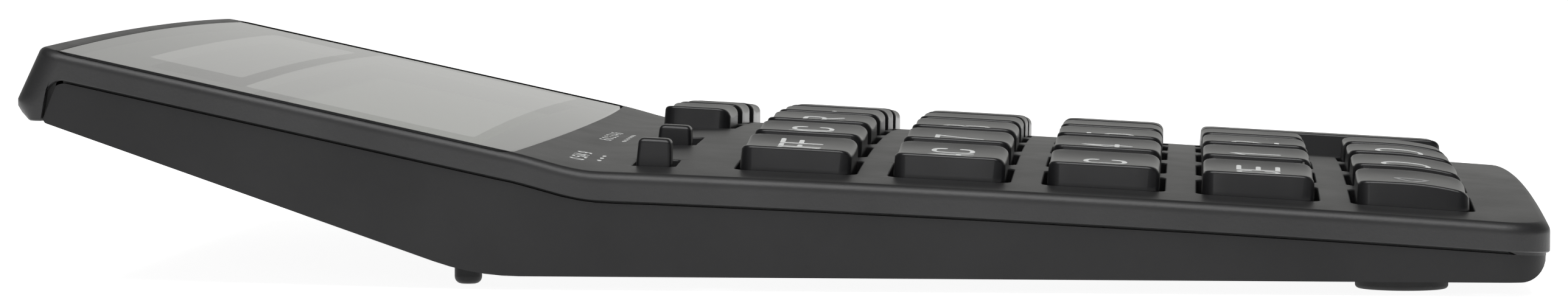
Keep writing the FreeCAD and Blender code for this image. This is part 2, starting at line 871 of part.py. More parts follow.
def circle_sketch(body, name, spots, radius):
    """Sketch of equal circles on the body's XY plane."""
    sketch = body.newObject("Sketcher::SketchObject", name)
    sketch.AttachmentSupport = (plane_of(body, "XY_Plane"), [""])
    sketch.MapMode = "FlatFace"
    for x, y in spots:
        circle = sketch.addGeometry(Part.Circle(Vector(x, y, 0), Vector(0, 0, 1), 1.0), False)
        for kind, value in (("DistanceX", x), ("DistanceY", y)):
            if abs(value) > 1e-6:
                sketch.addConstraint(Sketcher.Constraint(kind, -1, 1, circle, 3, value))
        if abs(x) <= 1e-6:
            sketch.addConstraint(Sketcher.Constraint("PointOnObject", circle, 3, -2))
        number = sketch.addConstraint(Sketcher.Constraint("Radius", circle, 1.0))
        sketch.setExpression(f"Constraints[{number}]", radius)
    return sketch


def pad(body, sketch, name, length, down=False):
    grown = body.newObject("PartDesign::Pad", name)
    grown.Profile = sketch
    grown.Reversed = down
    grown.setExpression("Length", length)
    return grown


def pocket(body, sketch, name, down):
    """Pocket right through; the volume is compared, since a wrong way cuts nothing."""
    doc.recompute()
    before = body.Shape.Volume
    cut = body.newObject("PartDesign::Pocket", name)
    cut.Profile = sketch
    cut.Type = 1
    cut.Reversed = not down
    doc.recompute()
    if body.Shape.Volume >= before - 0.01:
        raise RuntimeError(f"{name} cuts nothing")
    return cut


def make_main_board():
    body = doc.addObject("PartDesign::Body", "main_board")
    outline = closed_sketch(body, "board_outline", "sizes.board_half_width",
                            "sizes.board_front_y", "sizes.board_back_y")
    pad(body, outline, "board_pad", "sizes.board_thick", down=True)
    holes = circle_sketch(body, "board_holes", BOARD_SCREWS, "sizes.screw_radius + 0.15")
    pocket(body, holes, "board_hole_pocket", down=True)
    body.Placement = board_place(0, 0)
    return keep(body, "main_board")


def make_switch(name, low_x, travel):
    """Slide switch body on the board, under its knob."""
    body = primitive("Part::Box", f"{name}_switch",
                     Length=f"{slot_length_x(travel)} + 2 * sizes.switch_margin",
                     Width="sizes.switch_length_y", Height="sizes.switch_height")
    corner = board_place(low_x - size("switch_margin"), size("slider_y"), 0.02)
    shift = Placement(Vector(0, -size("switch_length_y") / 2, 0), Rotation())
    body.Placement = corner * shift
    return keep(body, f"{name}_switch")


def make_slider(name, low_x, rise):
    """Knob: a rounded block with a flange under the deck."""
    half_y = size("knob_length_y") / 2
    x = low_x + size("slot_end_gap") + size("knob_width") / 2
    skin = skin_over_board(x, size("slider_y"))
    foot = size("switch_height") + 0.3
    knob = primitive("Part::Box", f"{name}_knob", Length="sizes.knob_width",
                     Width="sizes.knob_length_y", Height=f"{skin - foot + rise}")
    knob.Placement = Placement(Vector(-size("knob_width") / 2, -half_y, foot), Rotation())
    rounded = rounded_corners(knob, f"{name}_rounded_knob", 0.45)
    reach = size("knob_flange_reach")
    flange = primitive("Part::Box", f"{name}_knob_flange",
                       Length="sizes.knob_width + 2 * sizes.knob_flange_reach",
                       Width="sizes.knob_length_y + 2 * sizes.knob_flange_reach",
                       Height="sizes.knob_flange_thick")
    flange.Placement = Placement(
        Vector(-size("knob_width") / 2 - reach, -half_y - reach, foot), Rotation())
    slider = doc.addObject("Part::MultiFuse", f"{name}_slider")
    slider.Shapes = [rounded, flange]
    slider.Placement = board_place(x, size("slider_y"))
    return keep(slider, f"{name}_slider")


def make_chip():
    blob = primitive("Part::Cylinder", "controller_blob", Radius="sizes.chip_radius",
                     Height="sizes.chip_thick")
    doc.recompute()
    rims = []
    for number, edge in enumerate(blob.Shape.Edges, start=1):
        if edge.BoundBox.ZLength < 0.01 and edge.BoundBox.ZMin > 1:
            rims.append((number, 1.2, 1.2))
    chip = doc.addObject("Part::Fillet", "controller_chip")
    chip.Base = blob
    chip.Edges = rims
    place = board_place(8, -12, -size("board_thick") - 0.02)
    chip.Placement = place * Placement(Vector(0, 0, 0), Rotation(Vector(1, 0, 0), 180))
    return keep(chip, "controller_chip")


def make_screws(label, spots):
    """Group of equal screws: each spot is a head's seat, a shank length and a tilt frame."""
    screws = []
    for place, length in spots:
        head = Part.makeCylinder(size("screw_head_radius"), size("screw_head_thick"),
                                 Vector(0, 0, -size("screw_head_thick")))
        slot = Part.makeBox(4.0, 0.5, 0.5, Vector(-2.0, -0.25, -size("screw_head_thick")))
        cross = Part.makeBox(0.5, 4.0, 0.5, Vector(-0.25, -2.0, -size("screw_head_thick")))
        inner = Part.makeCylinder(1.3, 2, Vector(0, 0, -2))
        shank = Part.makeCylinder(size("screw_radius"), length, Vector(0, 0, -0.1))
        screw = head.cut(slot.common(inner)).cut(cross.common(inner)).fuse(shank)
        screw.Placement = place
        screws.append(screw)
    return feature(label, Part.makeCompound(screws))


# ---------------------------------------------------------------- display end


def bed_box(name, half_x, front, back, down, thick):
    """Box under the display bed, parallel to it, from y front to y back."""
    slope_length = (back - front) / math.cos(math.radians(BED_TILT))
    box = primitive("Part::Box", name, Length=f"{2 * half_x}", Width=f"{slope_length}",
                    Height=f"{thick}")
    box.Placement = bed_place(-half_x, front, down + thick)
    return box


UNDER_BED = size("bed_wall") + 0.05


def make_solar_cell():
    margin = size("glass_margin")
    return keep(bed_box("solar_cell", size("solar_half_width") + margin,
                        size("solar_front_y") - margin + 1.2, size("solar_back_y") + margin,
                        UNDER_BED, size("solar_thick")), "solar_cell")


def make_lcd_panel():
    margin = size("glass_margin")
    return keep(bed_box("lcd_panel", size("lcd_half_width") + margin,
                        size("lcd_front_y") - margin, size("lcd_back_y") + margin - 0.9,
                        UNDER_BED, size("lcd_thick")), "lcd_panel")


def make_lcd_frame():
    """Open frame that holds the panel from below."""
    margin = size("glass_margin") + 0.1
    wall = size("frame_wall")
    front = size("lcd_front_y") - margin
    back = size("lcd_back_y") + margin - 0.9
    half = size("lcd_half_width") + margin
    outer = bed_box("lcd_frame_block", half + wall, front - wall, back + wall, UNDER_BED,
                    size("frame_depth"))
    seat = bed_box("lcd_frame_seat", half, front, back, UNDER_BED - 1, size("lcd_thick") + 1.1)
    window = bed_box("lcd_frame_window", half - 3, front + 3, back - 3, UNDER_BED - 1,
                     size("frame_depth") + 3)
    seated = doc.addObject("Part::Cut", "lcd_frame_seated")
    seated.Base = outer
    seated.Tool = seat
    frame = doc.addObject("Part::Cut", "lcd_frame")
    frame.Base = seated
    frame.Tool = window
    return keep(frame, "lcd_frame")


def thick_strip(label, points, thick, half_x, middle_x=0.0):
    """Flat strip bent along points in Y and Z."""
    path = [Vector(p[0], p[1], 0) for p in points]
    left = []
    right = []
    for i, spot in enumerate(path):
        ahead = path[min(i + 1, len(path) - 1)] - path[max(i - 1, 0)]
        ahead.normalize()
        side = Vector(-ahead.y, ahead.x, 0) * (thick / 2)
        left.append(spot + side)
        right.append(spot - side)
    corners = [(p.x, p.y, 0) for p in left + right[::-1]]
    strip = side_prism(corners, half_x)
    strip.translate(Vector(middle_x, 0, 0))
    return feature(label, strip)


def make_lcd_ribbon():
    """Heat-seal ribbon from the panel's front edge down to the board."""
    board_y = 33.6
    board_top = size("board_z") + size("board_rise") * board_y + 0.16
    edge = bed_place(0, size("lcd_front_y") + 1.2, UNDER_BED + size("frame_depth") + 0.25).Base
    return thick_strip("lcd_ribbon", [
        (board_y - 2.5, board_top - 2.5 * size("board_rise")),
        (board_y, board_top),
        (edge.y - 0.6, edge.z - 0.5),
        (edge.y + 1.6, edge.z + 1.6 * size("bed_rise") - 0.1),
    ], 0.2, 45.0)


def bent_wire(points, bend):
    """Path of straight runs joined by tangent arcs."""
    edges = []
    start = points[0]
    for i in range(1, len(points) - 1):
        here = points[i]
        before = points[i - 1] - here
        after = points[i + 1] - here
        before.normalize()
        after.normalize()
        half = before.getAngle(after) / 2
        reach = bend / math.tan(half)
        inward = before + after
        inward.normalize()
        first = here + before * reach
        last = here + after * reach
        edges.append(Part.makeLine(start, first))
        middle = here + inward * (bend / math.sin(half) - bend)
        edges.append(Part.Arc(first, middle, last).toShape())
        start = last
    edges.append(Part.makeLine(start, points[-1]))
    return Part.Wire(edges)


def lead(points, bend=2.0):
    path = bent_wire(points, bend)
    ahead = points[1] - points[0]
    ring = Part.Wire(Part.Circle(points[0], ahead, size("lead_radius")).toShape())
    return path.makePipeShell([ring], True, False)


def make_solar_leads():
    """Two wires from the cell's ends, round the LCD frame, to the board."""
    leads = []
    depth = UNDER_BED + size("solar_thick") + size("lead_radius") + 0.05
    for side in (-1, 1):
        start = bed_place(side * 48.0, 74.5, depth).Base
        turn = bed_place(side * 66.0, 74.5, depth).Base
        end_y = 33.0
        board_top = size("board_z") + size("board_rise") * end_y
        low = Vector(side * 66.0, end_y, board_top + 2.0)
        end = Vector(side * 60.0, end_y, board_top + size("lead_radius") + 0.1)
        leads.append(lead([start, turn, low, end]))
    return feature("solar_leads", Part.makeCompound(leads))


# ---------------------------------------------------------------- battery bay


def make_battery_door():
    """Plate that fills the recess, with a clearance hole for its screw."""
    body = doc.addObject("PartDesign::Body", "battery_door")
    outline = closed_sketch(body, "door_outline", "sizes.door_width / 2",
                            "-sizes.door_length / 2", "sizes.door_length / 2")
    pad(body, outline, "door_pad", "sizes.door_thick")
    hole = circle_sketch(body, "door_hole", [(0, DOOR_SCREW_Y)], "sizes.screw_radius + 0.15")
    drilled = pocket(body, hole, "door_hole_pocket", down=False)
    corners = []
    for number, edge in enumerate(drilled.Shape.Edges, start=1):
        box = edge.BoundBox
        if box.ZLength > 0.5 and abs(box.XMin) > size("door_width") / 2 - 0.01:
            corners.append(f"Edge{number}")
    rounded = body.newObject("PartDesign::Fillet", "door_corners")
    rounded.Base = (drilled, corners)
    rounded.setExpression("Radius", "sizes.door_corner")
    body.Tip = rounded
    body.Placement = rear_place(0, size("door_y"))
    return keep(body, "battery_door")


def make_coin_cell():
    cell = primitive("Part::Cylinder", "coin_cell", Radius="sizes.cell_radius",
                     Height="sizes.cell_thick")
    cell.Placement = rear_place(0, size("door_y"), 1.1) * Placement(
        Vector(0, size("bay_shift"), 0), Rotation())
    return keep(cell, "coin_cell")


def make_contacts():
    """Plus strip over the cell, minus strip beside its rim."""
    over = 1.1 + size("cell_thick") + 0.05
    plus = primitive("Part::Box", "contact_plus", Length="5", Width="26",
                     Height="sizes.contact_thick")
    plus.Placement = rear_place(0, size("door_y"), over) * Placement(
        Vector(-2.5, -13 + size("bay_shift"), 0), Rotation())
    keep(plus, "contact_plus")
    minus = primitive("Part::Box", "contact_minus", Length="sizes.contact_thick", Width="6",
                      Height="sizes.cell_thick - 0.6")
    minus.Placement = rear_place(0, size("door_y"), 1.9) * Placement(
        Vector(size("cell_radius") + 0.1, -3 + size("bay_shift"), 0), Rotation())
    keep(minus, "contact_minus")


# ---------------------------------------------------------------- feet


def make_front_feet():
    discs = []
    for side in (-1, 1):
        disc = Part.makeCylinder(size("front_foot_radius"), size("case_floor_z"),
                                 Vector(side * size("front_foot_x"), size("front_foot_y"), 0))
        rim = [edge for edge in disc.Edges if edge.BoundBox.ZMax < 0.01 and edge.Closed]
        discs.append(disc.makeFillet(0.5, rim))
    return feature("front_feet", Part.makeCompound(discs))


def make_rear_feet(case):
    pips = []
    for side in (-1, 1):
        pip = Part.makeCylinder(size("rear_foot_radius"), 4,
                                Vector(side * size("rear_foot_x"), size("rear_foot_y"), 0))
        rim = [edge for edge in pip.Edges if edge.BoundBox.ZMax < 0.01 and edge.Closed]
        pip = pip.makeFillet(0.9, rim)
        lowest = min(pip.cut(case).Solids, key=lambda solid: solid.BoundBox.ZMin)
        pips.append(lowest)
    return feature("rear_feet", Part.makeCompound(pips))


# ---------------------------------------------------------------- build


def make_all():
    feature("top_cover", make_top_cover())
    case = make_bottom_case()
    feature("bottom_case", case)
    feature("display_window", window_layer(size("window_sink"), size("window_thick"), 0))
    make_solar_cell()
    make_lcd_panel()
    make_lcd_frame()
    make_lcd_ribbon()
    make_solar_leads()
    for key in KEYS:
        make_key(*key)
    feature("keypad_sheet", make_keypad_sheet())
    make_main_board()
    make_chip()
    for name, low_x, travel, rise in sliders():
        make_switch(name, low_x, travel)
        make_slider(name, low_x, rise)
    make_battery_door()
    make_coin_cell()
    make_contacts()
    door_screw = rear_place(0, size("door_y")) * Placement(
        Vector(0, DOOR_SCREW_Y, -0.02), Rotation())
    make_screws("door_screw", [(door_screw, 3.0)])
    case_spots = []
    for x, y in CASE_SCREWS:
        seat = screw_seat(x, y)
        reach = min(ceiling_height(x, y) - 0.6 - seat, 9.0)
        case_spots.append((Placement(Vector(x, y, seat - 0.02), Rotation()), reach))
    make_screws("case_screws", case_spots)
    board_spots = []
    for x, y in BOARD_SCREWS:
        # upright screws under a tilted board: each head touches at one edge only
        seat = size("board_z") + size("board_rise") * (y - size("screw_head_radius"))
        seat -= size("board_thick") + 0.03
        board_spots.append((Placement(Vector(x, y, seat), Rotation()), 4.0))
    make_screws("board_screws", board_spots)
    make_front_feet()
    make_rear_feet(case)


def check_and_write():
    """Stop on any failed object or bad shape, then write one file for each sub-part."""
    doc.recompute()
    for thing in doc.Objects:
        if "Invalid" in thing.State or "Error" in thing.State:
            raise RuntimeError(f"{thing.Label} failed: {thing.State}")
    os.makedirs("parts", exist_ok=True)
    for piece in pieces:
        shape = piece.Shape
        if shape.isNull() or not shape.isValid():
            raise RuntimeError(f"{piece.Label} has no valid shape")
        if not shape.Solids:
            raise RuntimeError(f"{piece.Label} has no solid")
    for piece in pieces:
        piece.Shape.exportStep(os.path.join("parts", f"{piece.Label}.step"))
        print(piece.Label, len(piece.Shape.Solids), round(piece.Shape.Volume, 1))


make_all()
check_and_write()
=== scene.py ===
import json
import math

import bmesh
import bpy
from mathutils import Matrix, Vector
from mathutils.geometry import delaunay_2d_cdt


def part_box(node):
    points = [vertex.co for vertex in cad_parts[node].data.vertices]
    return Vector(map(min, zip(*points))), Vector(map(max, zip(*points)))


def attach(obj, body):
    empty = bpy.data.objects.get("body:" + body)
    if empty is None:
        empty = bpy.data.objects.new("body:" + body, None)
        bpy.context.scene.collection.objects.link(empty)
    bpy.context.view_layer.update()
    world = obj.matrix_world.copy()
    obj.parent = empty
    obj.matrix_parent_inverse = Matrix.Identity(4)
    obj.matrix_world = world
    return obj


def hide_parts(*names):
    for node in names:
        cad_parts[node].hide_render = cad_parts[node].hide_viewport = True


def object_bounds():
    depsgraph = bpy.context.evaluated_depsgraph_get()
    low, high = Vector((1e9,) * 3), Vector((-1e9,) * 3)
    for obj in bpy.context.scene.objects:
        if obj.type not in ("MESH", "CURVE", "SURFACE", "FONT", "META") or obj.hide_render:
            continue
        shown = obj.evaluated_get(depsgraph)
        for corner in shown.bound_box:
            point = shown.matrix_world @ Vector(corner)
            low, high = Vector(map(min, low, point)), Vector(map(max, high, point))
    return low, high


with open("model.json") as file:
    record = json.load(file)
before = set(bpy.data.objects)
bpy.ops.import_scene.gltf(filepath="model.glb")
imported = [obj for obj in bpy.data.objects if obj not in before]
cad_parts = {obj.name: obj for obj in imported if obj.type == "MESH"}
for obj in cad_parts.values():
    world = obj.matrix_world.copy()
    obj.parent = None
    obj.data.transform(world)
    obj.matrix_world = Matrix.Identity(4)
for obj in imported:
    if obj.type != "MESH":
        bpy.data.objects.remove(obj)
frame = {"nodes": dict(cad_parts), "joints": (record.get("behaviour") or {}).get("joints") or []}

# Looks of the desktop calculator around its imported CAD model.  Shapes are worked out in
# millimetres, in the CAD frame: X across, Y from the front edge to the display end, Z up.
CAD_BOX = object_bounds()
MM = 0.001
HALF_WIDTH = CAD_BOX[1].x / MM
HALF_LENGTH = CAD_BOX[1].y / MM

# -------- heights of the cover's skin

BED_FOOT = (32.3, 16.75)
BED_RISE = 0.217
DECK_TOP = (21.7, 14.4)
DECK_RISE = 0.035
DECK_RISE_FRONT = 0.068
CROWN_DECK = 2.5
CROWN_BED = 0.8
CROWN_SPAN = (11.0, 35.0)
DECK_WALL = 1.8
BED_WALL = 3.0
SKIRT = 3.4
WALL = 1.8
REAR_WIDEST = 22.7
REAR_LOW = 20.3
REAR_LEAN = 0.463
REAR_TUCK = 0.32
LEAN_START = 60.0


def rim_height(y):
    """Height of the cover's side rim: straight display bed, short bend, gently arched deck."""
    foot_y, foot_z = BED_FOOT
    top_y, top_z = DECK_TOP
    if y >= foot_y:
        return foot_z + BED_RISE * (y - foot_y)
    if y <= top_y:
        run = top_y - y
        gain = (DECK_RISE_FRONT - DECK_RISE) / (top_y + HALF_LENGTH)
        return top_z - DECK_RISE * run - gain * run * run / 2
    span = foot_y - top_y
    part = (y - top_y) / span
    rise = foot_z - top_z
    low = DECK_RISE * span
    high = BED_RISE * span
    square = 3 * rise - 2 * low - high
    cube = low + high - 2 * rise
    return top_z + part * low + part ** 2 * square + part ** 3 * cube


def blend(y):
    """0 over the keys, 1 over the display, smooth between."""
    part = (y - CROWN_SPAN[0]) / (CROWN_SPAN[1] - CROWN_SPAN[0])
    part = min(max(part, 0.0), 1.0)
    return part * part * (3 - 2 * part)


def skin(x, y):
    """Height of the cover's outer skin, crowned across the width."""
    crown = CROWN_DECK + (CROWN_BED - CROWN_DECK) * blend(y)
    return rim_height(y) + crown * (1 - (x / HALF_WIDTH) ** 2)


def ceiling(x, y):
    """Height of the cover's inner skin."""
    return skin(x, y) - DECK_WALL - (BED_WALL - DECK_WALL) * blend(y)


# -------- mesh building

# Part of a grid step that the grid keeps clear of every loop.
GRID_MARGIN = 0.35


class Solid:
    """Points and faces of one closed piece, in millimetres."""

    def __init__(self):
        self.points = []
        self.faces = []
        self.tags = []

    def ring(self, points):
        first = len(self.points)
        self.points.extend(points)
        return list(range(first, len(self.points)))

    def face(self, corners, tag=0):
        self.faces.append(tuple(corners))
        self.tags.append(tag)

    def bridge(self, one, other, tag=0):
        count = len(one)
        for i in range(count):
            j = (i + 1) % count
            self.face((one[i], one[j], other[j], other[i]), tag)

    def fan(self, ring, centre):
        middle = self.ring([centre])[0]
        count = len(ring)
        for i in range(count):
            self.face((ring[i], ring[(i + 1) % count], middle))

    def loft(self, rings):
        """Bridges rings of points one after the other; returns the first and last."""
        made = [self.ring(points) for points in rings]
        for one, other in zip(made, made[1:]):
            self.bridge(one, other)
        return made[0], made[-1]


def finished(name, solid, body, materials, sharp=38.0, weighted=True):
    """Mesh object from a solid, smooth with sharp creases, riding on a CAD body."""
    mesh = bpy.data.meshes.new(name)
    mesh.from_pydata([(x * MM, y * MM, z * MM) for x, y, z in solid.points], [], solid.faces)
    for material in materials:
        mesh.materials.append(material)
    mesh.polygons.foreach_set("material_index", solid.tags)
    work = bmesh.new()
    work.from_mesh(mesh)
    bmesh.ops.recalc_face_normals(work, faces=work.faces)
    work.to_mesh(mesh)
    work.free()
    mesh.shade_smooth()
    mesh.set_sharp_from_angle(angle=math.radians(sharp))
    piece = bpy.data.objects.new(name, mesh)
    bpy.context.scene.collection.objects.link(piece)
    if weighted:
        even = piece.modifiers.new("even_shading", "WEIGHTED_NORMAL")
        even.keep_sharp = True
        even.weight = 60
    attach(piece, body)
    return piece


def rounded_outline(half_x, half_y, radii, corner_steps=6, x_steps=1, y_steps=1):
    """Counter-clockwise outline as (x, y, normal x, normal y).  Radii go round from the corner
    at +x -y; the steps split each corner and each straight side."""
    found = []
    signs = [(1, -1), (1, 1), (-1, 1), (-1, -1)]
    for i, (sx, sy) in enumerate(signs):
        radius = radii[i]
        cx = sx * (half_x - radius)
        cy = sy * (half_y - radius)
        start = -90 + 90 * i
        for k in range(corner_steps + 1):
            angle = math.radians(start + 90 * k / corner_steps)
            nx = math.cos(angle)
            ny = math.sin(angle)
            found.append((cx + radius * nx, cy + radius * ny, nx, ny))
        after = radii[(i + 1) % 4]
        tx, ty = signs[(i + 1) % 4]
        end = (tx * (half_x - after), ty * (half_y - after))
        angle = math.radians(start + 90)
        here = found[-1]
        there = (end[0] + after * math.cos(angle), end[1] + after * math.sin(angle))
        steps = y_steps if i % 2 == 0 else x_steps
        for k in range(1, steps):
            part = k / steps
            found.append((here[0] + (there[0] - here[0]) * part,
                          here[1] + (there[1] - here[1]) * part, here[2], here[3]))
    return found


def inside(loop, x, y):
    """Whether a plan point lies inside a closed loop of points."""
    within = False
    j = len(loop) - 1
    for i in range(len(loop)):
        xi, yi = loop[i][0], loop[i][1]
        xj, yj = loop[j][0], loop[j][1]
        if (yi > y) != (yj > y) and x < (xj - xi) * (y - yi) / (yj - yi) + xi:
            within = not within
        j = i
    return within


def near_loop(loop, x, y, margin):
    for point in loop:
        if abs(point[0] - x) < margin and abs(point[1] - y) < margin:
            return True
    return False


def plan_box(loop):
    across = [point[0] for point in loop]
    along = [point[1] for point in loop]
    return min(across), max(across), min(along), max(along)


def plan_triangles(outer, holes, step_x, step_y, creases=()):
    """Plan points and triangles between an outer loop and holes, with an even grid inside.
    The outer loop's points come first, then each hole's, then each crease's."""
    loops = [outer] + list(holes) + list(creases)
    points = []
    edges = []
    for loop in loops:
        first = len(points)
        count = len(loop)
        for i, point in enumerate(loop):
            points.append(Vector((point[0], point[1])))
            edges.append((first + i, first + (i + 1) % count))
    low_x, high_x, low_y, high_y = plan_box(outer)
    columns = max(1, round((high_x - low_x) / step_x))
    rows = max(1, round((high_y - low_y) / step_y))
    boxes = [plan_box(loop) for loop in loops]
    margin = GRID_MARGIN * min(step_x, step_y)
    for i in range(1, columns):
        x = low_x + (high_x - low_x) * i / columns
        for j in range(1, rows):
            y = low_y + (high_y - low_y) * j / rows
            if not inside(outer, x, y) or near_loop(outer, x, y, margin):
                continue
            blocked = False
            for loop, (x0, x1, y0, y1) in zip(loops[1:], boxes[1:]):
                if x0 - margin < x < x1 + margin and y0 - margin < y < y1 + margin:
                    if near_loop(loop, x, y, margin):
                        blocked = True
                    elif loop in holes and inside(loop, x, y):
                        blocked = True
            if not blocked:
                points.append(Vector((x, y)))
    made = delaunay_2d_cdt(points, edges, [], 1, 1e-7)
    where, faces = made[0], made[2]
    kept = []
    for face in faces:
        cx = sum(where[k].x for k in face) / len(face)
        cy = sum(where[k].y for k in face) / len(face)
        if not inside(outer, cx, cy):
            continue
        hollow = False
        for hole, (x0, x1, y0, y1) in zip(holes, boxes[1:]):
            if x0 < cx < x1 and y0 < cy < y1 and inside(hole, cx, cy):
                hollow = True
        if not hollow:
            kept.append(tuple(face))
    return [(p.x, p.y) for p in where], kept


def add_skin(solid, outer, holes, height, step_x, step_y, creases=(), tag_of=None):
    """A skin that follows a height function; returns the point numbers of each loop."""
    where, faces = plan_triangles(outer, holes, step_x, step_y, creases)
    numbers = solid.ring([(x, y, height(x, y)) for x, y in where])
    for face in faces:
        chosen = 0
        if tag_of is not None:
            cx = sum(where[k][0] for k in face) / len(face)
            cy = sum(where[k][1] for k in face) / len(face)
            chosen = tag_of(cx, cy)
        solid.face([numbers[k] for k in face], chosen)
    loops = []
    first = 0
    for loop in [outer] + list(holes):
        loops.append([numbers[first + i] for i in range(len(loop))])
        first += len(loop)
    return loops


# -------- materials

def material(name):
    """New node material; returns it with its node tree and principled shader."""
    made = bpy.data.materials.new(name)
    made.use_nodes = True
    tree = made.node_tree
    return made, tree, tree.nodes["Principled BSDF"]


def noise(tree, scale, detail=4.0, roughness=0.55):
    """Noise on the object's own coordinates."""
    where = tree.nodes.new("ShaderNodeTexCoord")
    made = tree.nodes.new("ShaderNodeTexNoise")
    made.inputs["Scale"].default_value = scale
    made.inputs["Detail"].default_value = detail
    made.inputs["Roughness"].default_value = roughness
    tree.links.new(where.outputs["Object"], made.inputs["Vector"])
    return made


def ramp(tree, source, stops):
    made = tree.nodes.new("ShaderNodeValToRGB")
    tree.links.new(source, made.inputs["Fac"])
    while len(made.color_ramp.elements) < len(stops):
        made.color_ramp.elements.new(0.5)
    for element, (spot, colour) in zip(made.color_ramp.elements, stops):
        element.position = spot
        element.color = (*colour, 1.0)
    return made


def number_range(tree, source, low, high):
    made = tree.nodes.new("ShaderNodeMapRange")
    made.inputs["To Min"].default_value = low
    made.inputs["To Max"].default_value = high
    tree.links.new(source, made.inputs["Value"])
    return made


def calculate(tree, operation, first, second):
    """Math node on two values, each a number or another node's output."""
    made = tree.nodes.new("ShaderNodeMath")
    made.operation = operation
    for holder, value in zip(made.inputs, (first, second)):
        if isinstance(value, float):
            holder.default_value = value
        else:
            tree.links.new(value, holder)
    return made.outputs[0]


GRAIN_HEIGHT = 0.00004
SPECKS_PER_METRE = 230.0
SPECK_RADIUS = 0.035
SPECK_CHANCE = 0.18
SPECK_STRENGTH = 0.5
SPECK_COLOUR = (0.42, 0.42, 0.4, 1.0)


def grain_bump(tree, shader, scale, strength):
    fine = noise(tree, scale, 3.0)
    bump = tree.nodes.new("ShaderNodeBump")
    bump.inputs["Strength"].default_value = strength
    bump.inputs["Distance"].default_value = GRAIN_HEIGHT
    tree.links.new(fine.outputs["Fac"], bump.inputs["Height"])
    tree.links.new(bump.outputs["Normal"], shader.inputs["Normal"])


def moulded_plastic(name, dark, light, rough, grain=2600.0, bump=0.25, ior=1.46):
    """Black moulded plastic: slight mottling, fine spark-eroded grain and a few dust specks."""
    made, tree, shader = material(name)
    patches = noise(tree, 55.0, 5.0)
    colour = ramp(tree, patches.outputs["Fac"], [(0.3, dark), (0.72, light)])
    dust = tree.nodes.new("ShaderNodeTexVoronoi")
    dust.inputs["Scale"].default_value = SPECKS_PER_METRE
    dust.inputs["Randomness"].default_value = 1.0
    where = tree.nodes.new("ShaderNodeTexCoord")
    tree.links.new(where.outputs["Object"], dust.inputs["Vector"])
    chosen = tree.nodes.new("ShaderNodeSeparateColor")
    tree.links.new(dust.outputs["Color"], chosen.inputs["Color"])
    # a speck sits at the middle of some cells only
    close = calculate(tree, "LESS_THAN", dust.outputs["Distance"], SPECK_RADIUS)
    some = calculate(tree, "GREATER_THAN", chosen.outputs["Red"], 1 - SPECK_CHANCE)
    both = calculate(tree, "MULTIPLY", close, some)
    specks = calculate(tree, "MULTIPLY", both, SPECK_STRENGTH)
    mix = tree.nodes.new("ShaderNodeMix")
    mix.data_type = "RGBA"
    mix.inputs["B"].default_value = SPECK_COLOUR
    tree.links.new(specks, mix.inputs["Factor"])
    tree.links.new(colour.outputs["Color"], mix.inputs["A"])
    tree.links.new(mix.outputs["Result"], shader.inputs["Base Color"])
    sheen_patches = noise(tree, 140.0, 6.0)
    rougher = number_range(tree, sheen_patches.outputs["Fac"], rough - 0.05, rough + 0.06)
    tree.links.new(rougher.outputs["Result"], shader.inputs["Roughness"])
    shader.inputs["IOR"].default_value = ior
    grain_bump(tree, shader, grain, bump)
    return made


def plain_surface(name, dark, light, rough, scale=300.0, metallic=0.0, bump=0.1, ior=1.48):
    """Mottled colour, uneven gloss and fine bump, for every other surface."""
    made, tree, shader = material(name)
    patches = noise(tree, scale, 5.0)
    colour = ramp(tree, patches.outputs["Fac"], [(0.3, dark), (0.7, light)])
    tree.links.new(colour.outputs["Color"], shader.inputs["Base Color"])
    gloss = number_range(tree, patches.outputs["Fac"], rough - 0.06, rough + 0.08)
    tree.links.new(gloss.outputs["Result"], shader.inputs["Roughness"])
    shader.inputs["Metallic"].default_value = metallic
    shader.inputs["IOR"].default_value = ior
    grain_bump(tree, shader, scale * 6, bump)
    return made


SHEET_IOR = 1.49


def bare_material(name):
    """New node material with only its output node."""
    made = bpy.data.materials.new(name)
    made.use_nodes = True
    tree = made.node_tree
    tree.nodes.clear()
    return made, tree, tree.nodes.new("ShaderNodeOutputMaterial")


def clear_sheet(name, rough, both_faces):
    """Thin clear plastic: see-through, mirror-like at low angles, more so where both faces show."""
    made, tree, out = bare_material(name)
    mix = tree.nodes.new("ShaderNodeMixShader")
    through = tree.nodes.new("ShaderNodeBsdfTransparent")
    through.inputs["Color"].default_value = (0.93, 0.94, 0.92, 1.0)
    mirror = tree.nodes.new("ShaderNodeBsdfGlossy")
    smudge = noise(tree, 90.0, 6.0)
    gloss = number_range(tree, smudge.outputs["Fac"], rough * 0.7, rough * 1.4)
    tree.links.new(gloss.outputs["Result"], mirror.inputs["Roughness"])
    edge = tree.nodes.new("ShaderNodeFresnel")
    edge.inputs["IOR"].default_value = SHEET_IOR
    shine = edge.outputs["Fac"]
    if both_faces:
        # two faces together reflect 2F / (1 + F)
        twice = calculate(tree, "MULTIPLY", shine, 2.0)
        once_more = calculate(tree, "ADD", shine, 1.0)
        shine = calculate(tree, "DIVIDE", twice, once_more)
    tree.links.new(shine, mix.inputs["Fac"])
    tree.links.new(through.outputs["BSDF"], mix.inputs[1])
    tree.links.new(mirror.outputs["BSDF"], mix.inputs[2])
    tree.links.new(mix.outputs["Shader"], out.inputs["Surface"])
    return made


def clear_back(name):
    """Underside of the clear sheet, which only tints what lies under it."""
    made, tree, out = bare_material(name)
    through = tree.nodes.new("ShaderNodeBsdfTransparent")
    tint = ramp(tree, noise(tree, 120.0).outputs["Fac"],
                [(0.3, (0.93, 0.94, 0.92)), (0.7, (0.97, 0.97, 0.96))])
    tree.links.new(tint.outputs["Color"], through.inputs["Color"])
    tree.links.new(through.outputs["BSDF"], out.inputs["Surface"])
    return made


